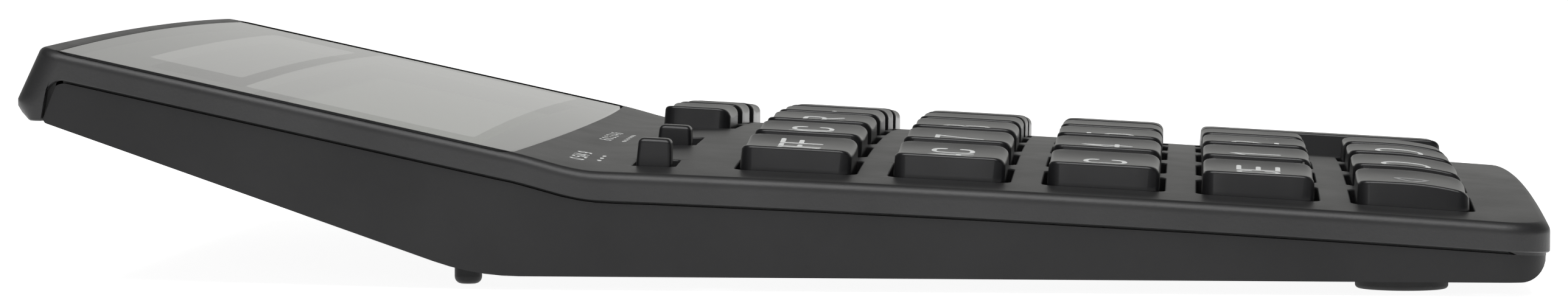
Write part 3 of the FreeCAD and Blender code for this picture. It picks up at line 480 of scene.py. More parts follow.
COVER = moulded_plastic("cover_black", (0.015, 0.015, 0.0155), (0.025, 0.025, 0.0255), 0.42,
                        bump=0.5)
# Painted shade: the case's black is made darker than the cover's black. It stands in for the shade
# on the lower case, which the bright floor lights in this scene.
CASE_WITH_PAINTED_SHADE = moulded_plastic("case_black", (0.009, 0.009, 0.0095), (0.015, 0.015, 0.0155), 0.46,
                       ior=1.37)
KEY = moulded_plastic("key_black", (0.010, 0.010, 0.011), (0.017, 0.017, 0.018), 0.3,
                      grain=1800.0, bump=0.12)
KNOB = moulded_plastic("knob_black", (0.009, 0.009, 0.010), (0.015, 0.015, 0.016), 0.34)
INK = plain_surface("legend_ink", (0.72, 0.73, 0.72), (0.86, 0.87, 0.86), 0.55, 900.0)
DIM_INK = plain_surface("grey_ink", (0.30, 0.30, 0.30), (0.38, 0.38, 0.38), 0.55, 900.0)
PRINT = plain_surface("window_print", (0.06, 0.06, 0.058), (0.09, 0.09, 0.088), 0.5, 400.0)
OVER_PRINT = clear_sheet("sheet_over_print", 0.07, False)
CLEAR = clear_sheet("clear_sheet", 0.045, True)
CLEAR_BACK = clear_back("clear_sheet_back")

# -------- keys

AXIS = next(j for j in frame["joints"] if j["child"] == "key_5")["axis"]
LEAN = math.asin(AXIS[1])
BOARD_Z = 8.84
BOARD_RISE = math.tan(LEAN)
KEY_WIDTH = 16.2
KEY_DRAFT = 0.6 / 3.9
KEY_RISE = 2.9
KEY_CORNER = 1.6
INNER_CORNER = 0.6
KEY_GAP = 0.5
HOLE_CORNER = 1.5
FLANGE = 0.9
FLANGE_THICK = 0.5
FLANGE_PLAY = 0.1
KEY_SIDE = 1.3
KEY_ROOF = 1.1
POST_FOOT = 2.3
POST_RADIUS = 2.6
DISH_RADIUS = 53.0
HALF_TOP = KEY_WIDTH / 2 - KEY_DRAFT * KEY_RISE
FRONT_ROW = ("key_backspace", "key_0", "key_00", "key_point")
KEY_NAMES = [name for name in frame["nodes"] if name.startswith("key_")]
SIDE_ROLL = 0.45
BACK_ROLL = 0.5
FRONT_ROLL = 1.0
END_FOOT = 0.12
END_DRAFT = 0.2
# The front row's tops also arch from front to back, highest a little behind the middle.
ARCH_PEAK = 0.2
ARCH_BACK = 0.12
ARCH_FRONT = 0.62
ARCH_RISE = 0.05


def over_board(height, x, y):
    """How far a skin lies over the board, measured square to the board."""
    return (height(x, y) - BOARD_Z - BOARD_RISE * y) * math.cos(LEAN)


class BoardSpot:
    """A spot on the tilted board frame: u across, v towards the display and w up."""

    def __init__(self, x, y):
        self.x = x
        self.y = y
        self.deck = over_board(skin, x, y)

    def place(self, u, v, w):
        return (self.x + u, self.y + v * math.cos(LEAN) - w * math.sin(LEAN),
                BOARD_Z + BOARD_RISE * self.y + v * math.sin(LEAN) + w * math.cos(LEAN))

    def deck_point(self, u, v, height=skin):
        """Point of the cover's skin, or of its ceiling, straight over u and v."""
        w = self.deck
        for _ in range(3):
            x, y, z = self.place(u, v, w)
            w += height(x, y) - z
        return self.place(u, v, w)


class KeySpot(BoardSpot):
    """Where a key stands, found from its CAD box, and the shape of its dished top."""

    def __init__(self, name):
        low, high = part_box(name)
        low = low / MM
        high = high / MM
        middle = (low.y + high.y) / 2
        span = (high.y - low.y - FLANGE_THICK * math.sin(LEAN)) / math.cos(LEAN)
        x = (low.x + high.x) / 2
        self.half_long = span / 2 - KEY_GAP - FLANGE
        y = middle
        for _ in range(4):
            super().__init__(x, y)
            self.flange_top = self.lowest_ceiling() - FLANGE_PLAY
            y = middle + math.sin(LEAN) * (self.flange_top - FLANGE_THICK / 2)
        super().__init__(x, y)
        self.name = name
        self.arched = name in FRONT_ROW
        crown = CROWN_DECK + (CROWN_BED - CROWN_DECK) * blend(self.y)
        self.tilt = math.atan(-2 * crown * self.x / HALF_WIDTH ** 2)
        sink = math.sqrt(DISH_RADIUS ** 2 - HALF_TOP ** 2)
        # the dish's axis, tilted with the crown of the deck
        self.axis_u = -sink * math.sin(self.tilt)
        self.axis_w = self.deck + KEY_RISE + sink * math.cos(self.tilt)
        self.roof = self.axis_w - DISH_RADIUS - KEY_ROOF

    def lowest_ceiling(self):
        reach_u = KEY_WIDTH / 2 + KEY_GAP + FLANGE
        reach_v = self.half_long + KEY_GAP + FLANGE
        return min(over_board(ceiling, self.x + i * reach_u, self.y + j * reach_v)
                   for i in (-1, 0, 1) for j in (-1, 0, 1))

    def top(self, u, v):
        """Height of the dished top over u and v."""
        dish = self.axis_w - math.sqrt(DISH_RADIUS ** 2 - (u - self.axis_u) ** 2)
        if self.arched:
            part = v / self.half_long
            bend = ARCH_BACK if part > ARCH_PEAK else ARCH_FRONT
            dish += ARCH_RISE - bend * (part - ARCH_PEAK) ** 2
        return dish


KEY_SPOTS = {name: KeySpot(name) for name in KEY_NAMES}
KEY_CORNER_STEPS = 7
KEY_X_STEPS = 12
KEY_Y_STEPS = 8


def key_outline(spot, side, back, front, corner):
    """Plan of a key drawn in by different amounts at its sides, back and front."""
    half_x = KEY_WIDTH / 2 - side
    half_y = spot.half_long - (back + front) / 2
    y_steps = KEY_Y_STEPS if spot.half_long < 10 else 2 * KEY_Y_STEPS
    outline = rounded_outline(half_x, half_y, [corner] * 4, KEY_CORNER_STEPS, KEY_X_STEPS, y_steps)
    shift = (front - back) / 2
    return [(x, y + shift, nx, ny) for x, y, nx, ny in outline]


def level(spot, outline, w):
    return [spot.place(x, y, w) for x, y, nx, ny in outline]


def edge_roll(nx, ny):
    """Radius of the rolled top edge: tight along the sides, wider at the ends."""
    end = BACK_ROLL if ny > 0 else FRONT_ROLL
    return SIDE_ROLL * nx * nx + end * ny * ny


def make_key(spot):
    solid = Solid()
    flange_low = spot.flange_top - FLANGE_THICK
    reach = -KEY_GAP - FLANGE
    hollow = key_outline(spot, KEY_SIDE, KEY_SIDE, KEY_SIDE, INNER_CORNER)
    flange = key_outline(spot, reach + FLANGE_PLAY, reach, reach, INNER_CORNER)
    foot = key_outline(spot, 0, END_FOOT, END_FOOT, KEY_CORNER)
    # the sides stand upright up to just under the deck
    start = spot.deck - 0.5
    rings = [
        level(spot, hollow, spot.roof),
        level(spot, hollow, flange_low),
        level(spot, flange, flange_low),
        level(spot, flange, spot.flange_top),
        level(spot, foot, spot.flange_top),
        level(spot, foot, start),
    ]
    draft = KEY_DRAFT * KEY_RISE
    top_corner = KEY_CORNER - 0.2
    drawn = key_outline(spot, draft, END_DRAFT, END_DRAFT, top_corner)
    side_steps = 4
    for step in range(1, side_steps + 1):
        part = step / side_steps
        line = []
        for (x, y, nx, ny), (in_x, in_y, in_nx, in_ny) in zip(foot, drawn):
            high = spot.top(in_x, in_y) - edge_roll(nx, ny)
            line.append(spot.place(x + (in_x - x) * part, y + (in_y - y) * part,
                                   start + (high - start) * part))
        rings.append(line)
    edge_steps = 7
    edge = drawn
    for step in range(1, edge_steps + 1):
        angle = math.radians(90 * step / edge_steps)
        gone = 1 - math.cos(angle)
        edge = key_outline(spot, draft + SIDE_ROLL * gone, END_DRAFT + BACK_ROLL * gone,
                           END_DRAFT + FRONT_ROLL * gone, top_corner - 0.4 * gone)
        line = []
        for x, y, nx, ny in edge:
            drop = edge_roll(nx, ny) * (1 - math.sin(angle))
            line.append(spot.place(x, y, spot.top(x, y) - drop))
        rings.append(line)
    first, previous = solid.loft(rings)
    solid.fan(first, spot.place(0, 0, spot.roof))
    middle = (FRONT_ROLL - BACK_ROLL) / 2
    top_steps = 9
    for step in range(1, top_steps):
        part = 1 - step / top_steps
        line = []
        for x, y, nx, ny in edge:
            u = x * part
            v = middle + (y - middle) * part
            line.append(spot.place(u, v, spot.top(u, v)))
        ring = solid.ring(line)
        solid.bridge(previous, ring)
        previous = ring
    solid.fan(previous, spot.place(0, middle, spot.top(0, middle)))
    post = rounded_outline(POST_RADIUS, POST_RADIUS, [POST_RADIUS] * 4, 8)
    # the post's head is sunk into the key's roof
    head = spot.roof + 0.3
    low, high = solid.loft([level(spot, post, POST_FOOT), level(spot, post, head)])
    solid.fan(low, spot.place(0, 0, POST_FOOT))
    solid.fan(high, spot.place(0, 0, head))
    piece = finished(f"{spot.name}_cap", solid, spot.name, [KEY], 50.0)
    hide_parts(spot.name)


for key_spot in KEY_SPOTS.values():
    make_key(key_spot)

# -------- printed legends

def straight(*points):
    """Stroke with sharp corners and open ends."""
    return (0.0, False, points)


# Strokes on a grid 4 wide and 6 high: (corner rounding, closed, points).
GLYPHS = {
    "0": [(2.0, True, [(0, 0), (4, 0), (4, 6), (0, 6)])],
    "1": [straight((0.8, 4.8), (2.2, 6), (2.2, 0))],
    "2": [(1.8, False, [(0, 4.5), (0, 6), (4, 6), (4, 3.4), (0, 0)]),
          straight((0, 0), (4, 0))],
    "3": [(1.5, False, [(0, 6), (4, 6), (4, 3.1), (1.2, 3.1)]),
          (1.6, False, [(1.2, 3.1), (4, 3.1), (4, 0), (0, 0)])],
    "4": [straight((3, 0), (3, 6), (0, 1.8), (4, 1.8))],
    "5": [straight((3.7, 6), (0.3, 6), (0.2, 3.6)),
          (1.7, False, [(0.2, 3.6), (4, 3.6), (4, 0), (0, 0)])],
    "6": [(1.8, True, [(0, 0), (4, 0), (4, 3.6), (0, 3.6)]),
          (2.0, False, [(0, 1.8), (0, 6), (3.6, 6)])],
    "7": [straight((0, 6), (4, 6), (1.3, 0))],
    "8": [(1.6, True, [(0, 0), (4, 0), (4, 3.2), (0, 3.2)]),
          (1.4, True, [(0.3, 3.2), (3.7, 3.2), (3.7, 6), (0.3, 6)])],
    "9": [(1.8, True, [(0, 2.4), (4, 2.4), (4, 6), (0, 6)]),
          (2.0, False, [(4, 4.2), (4, 0), (0.4, 0)])],
    "A": [straight((0, 0), (2, 6), (4, 0)), straight((0.8, 2), (3.2, 2))],
    "C": [(1.8, False, [(4, 4.3), (4, 6), (0, 6), (0, 0), (4, 0), (4, 1.7)])],
    "E": [straight((4, 6), (0, 6), (0, 0), (4, 0)), straight((0, 3), (3.4, 3))],
    "F": [straight((4, 6), (0, 6), (0, 0)), straight((0, 3.1), (3.2, 3.1))],
    "G": [(1.8, False, [(4, 4.6), (4, 6), (0, 6), (0, 0), (4, 0), (4, 2.8)]),
          straight((4, 2.8), (2.3, 2.8))],
    "M": [straight((0, 0), (0, 6), (2.2, 1.8), (4.4, 6), (4.4, 0))],
    "N": [straight((0, 0), (0, 6), (4, 0), (4, 6))],
    "O": [(2.0, True, [(0, 0), (4, 0), (4, 6), (0, 6)])],
    "R": [straight((0, 0), (0, 6)), (1.5, False, [(0, 6), (4, 6), (4, 2.9), (0, 2.9)]),
          straight((2, 2.9), (4, 0))],
    "T": [straight((0, 6), (4, 6)), straight((2, 6), (2, 0))],
    "U": [(2.0, False, [(0, 6), (0, 0), (4, 0), (4, 6)])],
    "+": [straight((0, 3), (4, 3)), straight((2, 1), (2, 5))],
    "-": [straight((0.2, 3), (3.8, 3))],
    "x": [straight((0.3, 1.3), (3.7, 4.7)), straight((0.3, 4.7), (3.7, 1.3))],
    ":": [straight((0, 3), (4, 3)), straight((1.8, 4.9), (2.2, 4.9)),
          straight((1.8, 1.1), (2.2, 1.1))],
    "=": [straight((0, 2.1), (4, 2.1)), straight((0, 3.9), (4, 3.9))],
    ".": [straight((1.8, 2.8), (2.2, 2.8))],
    "/": [straight((0.6, -0.3), (3.4, 6.3))],
    "%": [(0.8, True, [(0, 3.9), (1.6, 3.9), (1.6, 6), (0, 6)]),
          (0.8, True, [(2.6, 0), (4.2, 0), (4.2, 2.1), (2.6, 2.1)]), straight((3.8, 6), (0.4, 0))],
    "v": [straight((0, 2.6), (0.9, 3.1), (1.9, 0), (3.1, 6), (5.2, 6))],
    "<": [(0.6, True, [(4, 0.4), (4, 5.6), (0.2, 3)])],
}
GLYPH_HALF_STROKE = 0.31
LETTER_HEIGHT = 4.8
SHORT_KEY_LETTER = 4.0
LETTER_WIDTHS = {1: 3.7, 2: 3.1, 3: 2.7}
DIGIT_HEIGHT = 5.7
DIGIT_WIDTHS = {1: 4.5, 2: 3.6}


def rounded_path(points, radius, closed):
    """Polyline with each corner replaced by a short curve."""
    if radius <= 0:
        return [Vector(p) for p in points]
    found = []
    count = len(points)
    for i, point in enumerate(points):
        here = Vector(point)
        if not closed and i in (0, count - 1):
            found.append(here)
            continue
        before = Vector(points[i - 1])
        after = Vector(points[(i + 1) % count])
        # a side between two rounded corners gives each of them half its length
        back = (before - here).length / (2 if closed or i > 1 else 1)
        ahead = (after - here).length / (2 if closed or i < count - 2 else 1)
        start = here + (before - here).normalized() * min(radius, back)
        end = here + (after - here).normalized() * min(radius, ahead)
        for k in range(7):
            t = k / 6
            found.append(start * (1 - t) ** 2 + here * (2 * t * (1 - t)) + end * t ** 2)
    return found


def fine_path(points, closed, longest=0.45):
    """The same line with no step longer than a given length."""
    found = []
    ends = points[1:] + points[:1] if closed else points[1:]
    for one, other in zip(points, ends):
        parts = max(1, math.ceil((other - one).length / longest))
        for k in range(parts):
            found.append(one.lerp(other, k / parts))
    if not closed:
        found.append(points[-1])
    kept = [found[0]]
    for point in found[1:]:
        if (point - kept[-1]).length > 0.01:
            kept.append(point)
    return kept


def stroke_cap(tip, near, half):
    """Left and right points that round off a stroke's end; half is negative at its start."""
    ahead = (tip - near).normalized()
    side = Vector((-ahead.y, ahead.x))
    found = []
    for angle in (math.radians(37.5), math.radians(75.0)):
        reach = ahead * abs(half) * math.sin(angle)
        across = side * half * math.cos(angle)
        found.append((tip + reach + across, tip + reach - across))
    return found


def add_stroke(solid, path, closed, half, surface, low, high):
    """Raised ribbon along a path, with rounded ends."""
    count = len(path)
    left = []
    right = []
    for i, point in enumerate(path):
        before = path[i - 1] if closed or i > 0 else point
        after = path[(i + 1) % count] if closed or i < count - 1 else point
        one = (point - before).normalized() if (point - before).length > 1e-6 else None
        two = (after - point).normalized() if (after - point).length > 1e-6 else None
        if one is None:
            one = two
        if two is None:
            two = one
        along = (one + two).normalized() if (one + two).length > 1e-3 else one
        side = Vector((-along.y, along.x))
        stretch = 1 / max(abs(side.dot(Vector((-one.y, one.x)))), 0.5)
        left.append(point + side * half * stretch)
        right.append(point - side * half * stretch)
    sections = []
    outline_pairs = list(zip(left, right))
    if not closed:
        start_cap = stroke_cap(path[0], path[1], -half)
        end_cap = stroke_cap(path[-1], path[-2], half)
        outline_pairs = start_cap[::-1] + outline_pairs + end_cap
    for a, b in outline_pairs:
        sections.append(solid.ring([surface(a.x, a.y, high), surface(b.x, b.y, high),
                                    surface(b.x, b.y, low), surface(a.x, a.y, low)]))
    joins = list(zip(sections, sections[1:]))
    if closed:
        joins.append((sections[-1], sections[0]))
    for one, other in joins:
        for k in range(4):
            n = (k + 1) % 4
            solid.face((one[k], one[n], other[n], other[k]))
    if not closed:
        solid.face(sections[0])
        solid.face(sections[-1])


PRINT_RAISED = 0.03
PRINT_FOOT = -0.05
LAYER_STEP = 0.002


def add_text(solid, text, height, width, gap, middle, surface, stroke, raised=PRINT_RAISED):
    """A line of glyphs centred on a point of a surface."""
    scale_y = height / 6
    scale_x = width / 4
    widths = [max(p[0] for s in GLYPHS[c] for p in s[2]) * scale_x for c in text]
    total = sum(widths) + gap * (len(text) - 1)
    start = middle[0] - total / 2
    for number, letter in enumerate(text):
        for layer, (radius, closed, points) in enumerate(GLYPHS[letter]):
            line = rounded_path(points, radius, closed)
            line = [Vector((start + p.x * scale_x, middle[1] + (p.y - 3) * scale_y)) for p in line]
            line = fine_path(line, closed)
            if closed and (line[0] - line[-1]).length < 0.01:
                line.pop()
            add_stroke(solid, line, closed, stroke, surface, PRINT_FOOT,
                       raised + LAYER_STEP * layer)
        start += widths[number] + gap


LEGENDS = {
    "key_percent": "%", "key_square_root": "v", "key_grand_total": "GT",
    "key_off": "OFF", "key_memory_clear": "MC", "key_memory_recall": "MR",
    "key_memory_minus": "M-", "key_memory_plus": "M+", "key_divide": ":",
    "key_on": "AC", "key_multiply": "x", "key_mark_up": "MU", "key_clear": "C",
    "key_minus": "-", "key_sign": "+/-", "key_clear_entry": "CE", "key_plus": "+",
    "key_equals": "=", "key_backspace": "<", "key_00": "00", "key_point": ".",
}


def make_legend(spot):
    text = LEGENDS.get(spot.name, spot.name[-1])
    solid = Solid()

    def surface(u, v, up):
        return spot.place(u, v, spot.top(u, v) + up)

    height = SHORT_KEY_LETTER if spot.half_long < 6 else LETTER_HEIGHT
    width = LETTER_WIDTHS[len(text)]
    if text[0].isdigit():
        height = DIGIT_HEIGHT
        width = DIGIT_WIDTHS[len(text)]
    gap = 1.2 if len(text) < 3 else 1.0
    add_text(solid, text, height, width, gap, (0, 0), surface, GLYPH_HALF_STROKE)
    ink = DIM_INK if spot.name == "key_backspace" else INK
    finished(f"{spot.name}_legend", solid, spot.name, [ink], 60.0, False)


for key_spot in KEY_SPOTS.values():
    make_legend(key_spot)

# -------- top cover

SLIDER_Y = 16.0
SLOT_HALF_Y = 2.7
KNOB_WIDTH = 3.4
KNOB_HALF_Y = 2.15
KNOB_RISES = {"rounding_slider": 3.3, "decimal_slider": 2.5}
KNOB_FLANGE = 0.8
KNOB_FLANGE_THICK = 0.4
KNOB_FOOT = 2.2
KNOB_ROLL = 0.65
KNOB_DRAFT_X = 0.1
KNOB_DRAFT_Y = 0.12
SLOT_END_GAP = 0.3
RIM_ROLL = 1.3
REAR_RIM_ROLL = 0.7


def find_sliders():
    """Middle across and travel of each slider, by name."""
    found = {}
    for joint in frame["joints"]:
        name = joint["child"]
        if name.endswith("_slider"):
            low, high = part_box(name)
            found[name] = ((low.x + high.x) / 2 / MM, joint["range_m"][1] / MM)
    return found


SLIDERS = find_sliders()


def slot_loop(middle, travel):
    """Deck outline of a slider's slot."""
    low_x = middle - KNOB_WIDTH / 2 - SLOT_END_GAP
    length = KNOB_WIDTH + travel + 2 * SLOT_END_GAP
    spot = BoardSpot(low_x + length / 2, SLIDER_Y)
    outline = rounded_outline(length / 2, SLOT_HALF_Y, [0.5] * 4, 3, 3, 3)
    return spot, outline


def key_hole_outline(spot):
    """Outline of a key's hole, a little closer at the sides than at the ends."""
    half_x = KEY_WIDTH / 2 + KEY_GAP - 0.1
    half_y = spot.half_long + KEY_GAP
    return rounded_outline(half_x, half_y, [HOLE_CORNER] * 4, 6, 5, 5)


WINDOW_HALF = 70.2
WINDOW_FRONT = 32.5
WINDOW_BACK = 88.2
WINDOW_BOW = 2.3
WINDOW_CORNER = 1.5
WINDOW_THICK = 1.2
WINDOW_SINK = 0.1
WINDOW_GAP = 0.15
WINDOW_GLUE = 0.05
WINDOW_BEVEL = 0.2


def window_loop(gap):
    """Plan of the display window; its front edge bows towards the keys."""
    half = WINDOW_HALF + gap
    middle_y = (WINDOW_FRONT + WINDOW_BACK) / 2
    half_y = (WINDOW_BACK - WINDOW_FRONT) / 2 + gap
    corner = WINDOW_CORNER + gap
    outline = rounded_outline(half, half_y, [corner] * 4, 5, 36, 14)
    found = []
    for x, y, nx, ny in outline:
        bow = WINDOW_BOW * (1 - (x / half) ** 2) * max(0.0, -ny)
        found.append((x, middle_y + y - bow, nx, ny))
    return found


REAR_CORNER = 3.5
FRONT_CORNER = 6.0
SKIRT_TURN = 1.8
LIP_DEPTH = 0.9
REAR_LIP_DEPTH = 0.05
GROOVE_DEPTH = 0.45
GROOVE_STEP = 0.02
FRONT_GROOVE_STEP = 0.35
SKIRT_EDGE = 0.15
LIP_THICK = 0.3
HOLE_EDGE = 0.22


def perimeter():
    """Stations round the cover: plan x and y, normal, and how much each follows the rear lean."""
    side_end = HALF_LENGTH - REAR_CORNER
    side_start = FRONT_CORNER - HALF_LENGTH
    side = []
    side_steps = 150
    for i in range(1, side_steps):
        side.append(side_start + (side_end - SKIRT_TURN - side_start) * i / side_steps)
    # closer together where the skirt's lower edge turns down
    turn_steps = 8
    for i in range(turn_steps):
        side.append(side_end - SKIRT_TURN * (1 - math.sin(math.radians(90 * i / turn_steps))))
    side.append(side_end - 0.02)
    corners = rounded_outline(HALF_WIDTH, HALF_LENGTH,
                              [FRONT_CORNER, REAR_CORNER, REAR_CORNER, FRONT_CORNER], 10, 48, 1)
    found = []
    for x, y, nx, ny in corners:
        if found:
            before = found[-1]
            if nx > 0.999 and before[2] > 0.999:
                found += [(HALF_WIDTH, at, 1.0, 0.0) for at in side]
            if nx < -0.999 and before[2] < -0.999:
                found += [(-HALF_WIDTH, at, -1.0, 0.0) for at in side[::-1]]
        found.append((x, y, nx, ny))
    stations = []
    for x, y, nx, ny in found:
        follow = min(max((y - LEAN_START) / (side_end - LEAN_START), 0.0), 1.0)
        stations.append((x, y, nx, ny, follow))
    return stations


STATIONS = perimeter()


def roll_of(station):
    """Radius of the rolled rim, tighter along the rear end."""
    return RIM_ROLL + (REAR_RIM_ROLL - RIM_ROLL) * max(0.0, station[3]) ** 2


def cover_point(station, inset, z):
    """Point of the cover's side at a height, drawn in from its outer form."""
    x, y, nx, ny, follow = station
    lean = REAR_LEAN * max(0.0, z - REAR_WIDEST) * follow
    # under its widest line the rear end rolls inwards
    under = max(0.0, REAR_WIDEST - z) * follow * max(0.0, ny)
    lean += REAR_TUCK * under ** 2
    return (x - inset * nx, y - inset * ny - lean, z)


def rim_point(station, inset, drop):
    """Point a little in from and under the skin's edge, at the height of the skin there."""
    # a few rounds settle the point, whatever height they start from
    z = REAR_LOW
    for _ in range(6):
        x, y, z = cover_point(station, inset, z)
        z = skin(x, y) - drop
    return cover_point(station, inset, z)


def lowest(station):
    """Height of the skirt's lower edge: along the rim, then down round the rear end."""
    x, y, nx, ny, follow = station
    side_end = HALF_LENGTH - REAR_CORNER
    if y > side_end - 0.01 or ny > 0.01:
        return REAR_LOW
    where = rim_point(station, 0, SKIRT)
    line = rim_height(where[1]) - SKIRT
    past = y - (side_end - SKIRT_TURN)
    if past > 0:
        line -= SKIRT_TURN - math.sqrt(max(SKIRT_TURN ** 2 - past ** 2, 0.0))
    return line


def lip_foot(station):
    """Foot of the thin lip that reaches down inside the case wall, along the sides and front."""
    at_rear = station[1] > HALF_LENGTH - REAR_CORNER - SKIRT_TURN or station[3] > 0.01
    return lowest(station) - (REAR_LIP_DEPTH if at_rear else LIP_DEPTH)


def groove_roof(station):
    """Roof of the parting groove, closer to the case along the front end."""
    at_front = station[3] < -0.3
    return lowest(station) - (FRONT_GROOVE_STEP if at_front else GROOVE_STEP)


# Openings over the solar cell and the display: half width, front edge and back edge.
SOLAR = (50.0, 68.6, 80.3)
LCD = (61.0, 38.0, 66.4)


def opening_loop(opening):
    half_x, front, back = opening
    outline = rounded_outline(half_x, (back - front) / 2, [1.0] * 4, 3, 10, 4)
    middle = (front + back) / 2
    return [(x, middle + y) for x, y, nx, ny in outline]


def quarter_turn(radius, steps):
    """Reach outwards and drop along a rounded edge, from just past its top to its side."""
    found = []
    for step in range(1, steps + 1):
        angle = math.radians(90 * step / steps)
        found.append((radius * (1 - math.sin(angle)), radius * (1 - math.cos(angle))))
    return found


def cover_solid():
    """The whole cover as one closed shell."""
    solid = Solid()
    walls = [(spot, key_hole_outline(spot)) for spot in KEY_SPOTS.values()]
    walls += [slot_loop(middle, travel) for middle, travel in SLIDERS.values()]
    holes = []
    ceiling_holes = []
    for spot, outline in walls:
        wide = [(x + nx * HOLE_EDGE, y + ny * HOLE_EDGE) for x, y, nx, ny in outline]
        holes.append([spot.deck_point(x, y)[:2] for x, y in wide])
        ceiling_holes.append([spot.deck_point(x, y, ceiling)[:2] for x, y, nx, ny in outline])
    frame_loop = window_loop(WINDOW_GAP)
    holes.append([(x + nx * HOLE_EDGE, y + ny * HOLE_EDGE) for x, y, nx, ny in frame_loop])
    openings = [opening_loop(SOLAR), opening_loop(LCD)]
    outer = [rim_point(station, roll_of(station), 0)[:2] for station in STATIONS]
    inner = [rim_point(station, WALL, DECK_WALL)[:2] for station in STATIONS]
    top_loops = add_skin(solid, outer, holes, skin, 3.4, 2.6)
    low_loops = add_skin(solid, inner, ceiling_holes + openings, ceiling, 5.0, 5.0)
    for number, (spot, outline) in enumerate(walls):
        rings = []
        for reach, drop in quarter_turn(HOLE_EDGE, 3):
            line = []
            for x, y, nx, ny in outline:
                wx, wy, wz = spot.deck_point(x + nx * reach, y + ny * reach)
                line.append((wx, wy, wz - drop))
            rings.append(line)
        first, last = solid.loft(rings)
        solid.bridge(top_loops[1 + number], first)
        solid.bridge(last, low_loops[1 + number])
    rings = []
    for reach, drop in quarter_turn(HOLE_EDGE, 3):
        rings.append([(x + nx * reach, y + ny * reach, skin(x + nx * reach, y + ny * reach) - drop)
                      for x, y, nx, ny in frame_loop])
    first, last = solid.loft(rings)
    solid.bridge(top_loops[1 + len(walls)], first)
    depth = WINDOW_SINK + WINDOW_THICK + WINDOW_GLUE
    plan = [(x, y) for x, y, nx, ny in frame_loop]
    floor = add_skin(solid, plan, openings, lambda x, y: skin(x, y) - depth, 4.0, 4.0)
    solid.bridge(last, floor[0])
    for number in range(2):
        solid.bridge(floor[1 + number], low_loops[1 + len(walls) + number])
    # rolled rim, side, lower edge and inner face
    rings = []
    for across, down in quarter_turn(1.0, 9):
        rings.append([rim_point(station, roll_of(station) * across, roll_of(station) * down)
                      for station in STATIONS])
    side_steps = 10
    for step in range(1, side_steps + 1):
        part = step / side_steps
        line = []
        for station in STATIONS:
            high = rim_point(station, 0, roll_of(station))[2]
            z = high + (lowest(station) + SKIRT_EDGE - high) * part
            line.append(cover_point(station, 0, z))
        rings.append(line)
    lip_out = WALL - LIP_THICK
    underside = ((SKIRT_EDGE, lowest), (GROOVE_DEPTH, lowest), (GROOVE_DEPTH, groove_roof),
                 (lip_out, groove_roof), (lip_out, lip_foot), (WALL, lip_foot))
    for inset, height in underside:
        rings.append([cover_point(station, inset, height(station)) for station in STATIONS])
    first, last = solid.loft(rings)
    solid.bridge(top_loops[0], first)
    solid.bridge(last, low_loops[0])
    return solid


cover = finished("cover_shell", cover_solid(), "case", [COVER], 35.0)
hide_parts("top_cover")

# -------- display window

def in_opening(x, y):
    for half_x, front, back in (SOLAR, LCD):
        if abs(x) < half_x and front < y < back:
            return True
    return False


def make_window():
    """Clear sheet with its border printed on the back."""
    solid = Solid()
    loop = window_loop(0)
    top_line = [(x - nx * WINDOW_BEVEL, y - ny * WINDOW_BEVEL) for x, y, nx, ny in loop]
    plan = [(x, y) for x, y, nx, ny in loop]
    openings = [opening_loop(SOLAR), opening_loop(LCD)]
    top = add_skin(solid, top_line, [], lambda x, y: skin(x, y) - WINDOW_SINK, 5.0, 5.0,
                   creases=openings, tag_of=lambda x, y: 0 if in_opening(x, y) else 3)
    low = add_skin(solid, plan, [], lambda x, y: skin(x, y) - WINDOW_SINK - WINDOW_THICK, 5.0, 5.0,
                   creases=openings, tag_of=lambda x, y: 2 if in_opening(x, y) else 1)
    shoulder = solid.ring([(x, y, skin(x, y) - WINDOW_SINK - WINDOW_BEVEL) for x, y in plan])
    solid.bridge(top[0], shoulder)
    solid.bridge(shoulder, low[0], 1)
    piece = finished("window_sheet", solid, "case",
                     [CLEAR, PRINT, CLEAR_BACK, OVER_PRINT], 30.0, False)
    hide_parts("display_window")


make_window()

# -------- slider knobs

def make_knob(name, middle):
    solid = Solid()
    spot = BoardSpot(middle, SLIDER_Y)

    def block(half_x, half_y, corner, w):
        return level(spot, rounded_outline(half_x, half_y, [corner] * 4, 5, 4, 4), w)

    half_x = KNOB_WIDTH / 2
    top = spot.deck + KNOB_RISES[name]
    shoulder = KNOB_FOOT + KNOB_FLANGE_THICK
    rings = [
        block(half_x + KNOB_FLANGE, KNOB_HALF_Y + KNOB_FLANGE, 0.3, KNOB_FOOT),
        block(half_x + KNOB_FLANGE, KNOB_HALF_Y + KNOB_FLANGE, 0.3, shoulder),
        block(half_x, KNOB_HALF_Y, 0.5, shoulder),
        block(half_x, KNOB_HALF_Y, 0.5, spot.deck + 0.2),
    ]
    roll_steps = 6
    for step in range(roll_steps + 1):
        angle = math.radians(90 * step / roll_steps)
        inset = KNOB_ROLL * (1 - math.cos(angle))
        drop = KNOB_ROLL * (1 - math.sin(angle))
        rings.append(block(half_x - KNOB_DRAFT_X - inset, KNOB_HALF_Y - KNOB_DRAFT_Y - inset, 0.5,
                           top - drop))
    # the top is dished by a hair
    rings.append(block(half_x * 0.4, KNOB_HALF_Y * 0.5, 0.3, top - 0.02))
    first, last = solid.loft(rings)
    solid.fan(first, spot.place(0, 0, KNOB_FOOT))
    solid.fan(last, spot.place(0, 0, top - 0.03))
    piece = finished(f"{name}_knob", solid, name, [KNOB], 50.0)
    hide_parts(name)


for knob_name in SLIDERS:
    make_knob(knob_name, SLIDERS[knob_name][0])

# -------- marks beside the sliders

MARK_RAISED = 0.04
TICK_Y = 23.1
TICK_HALF = 0.45
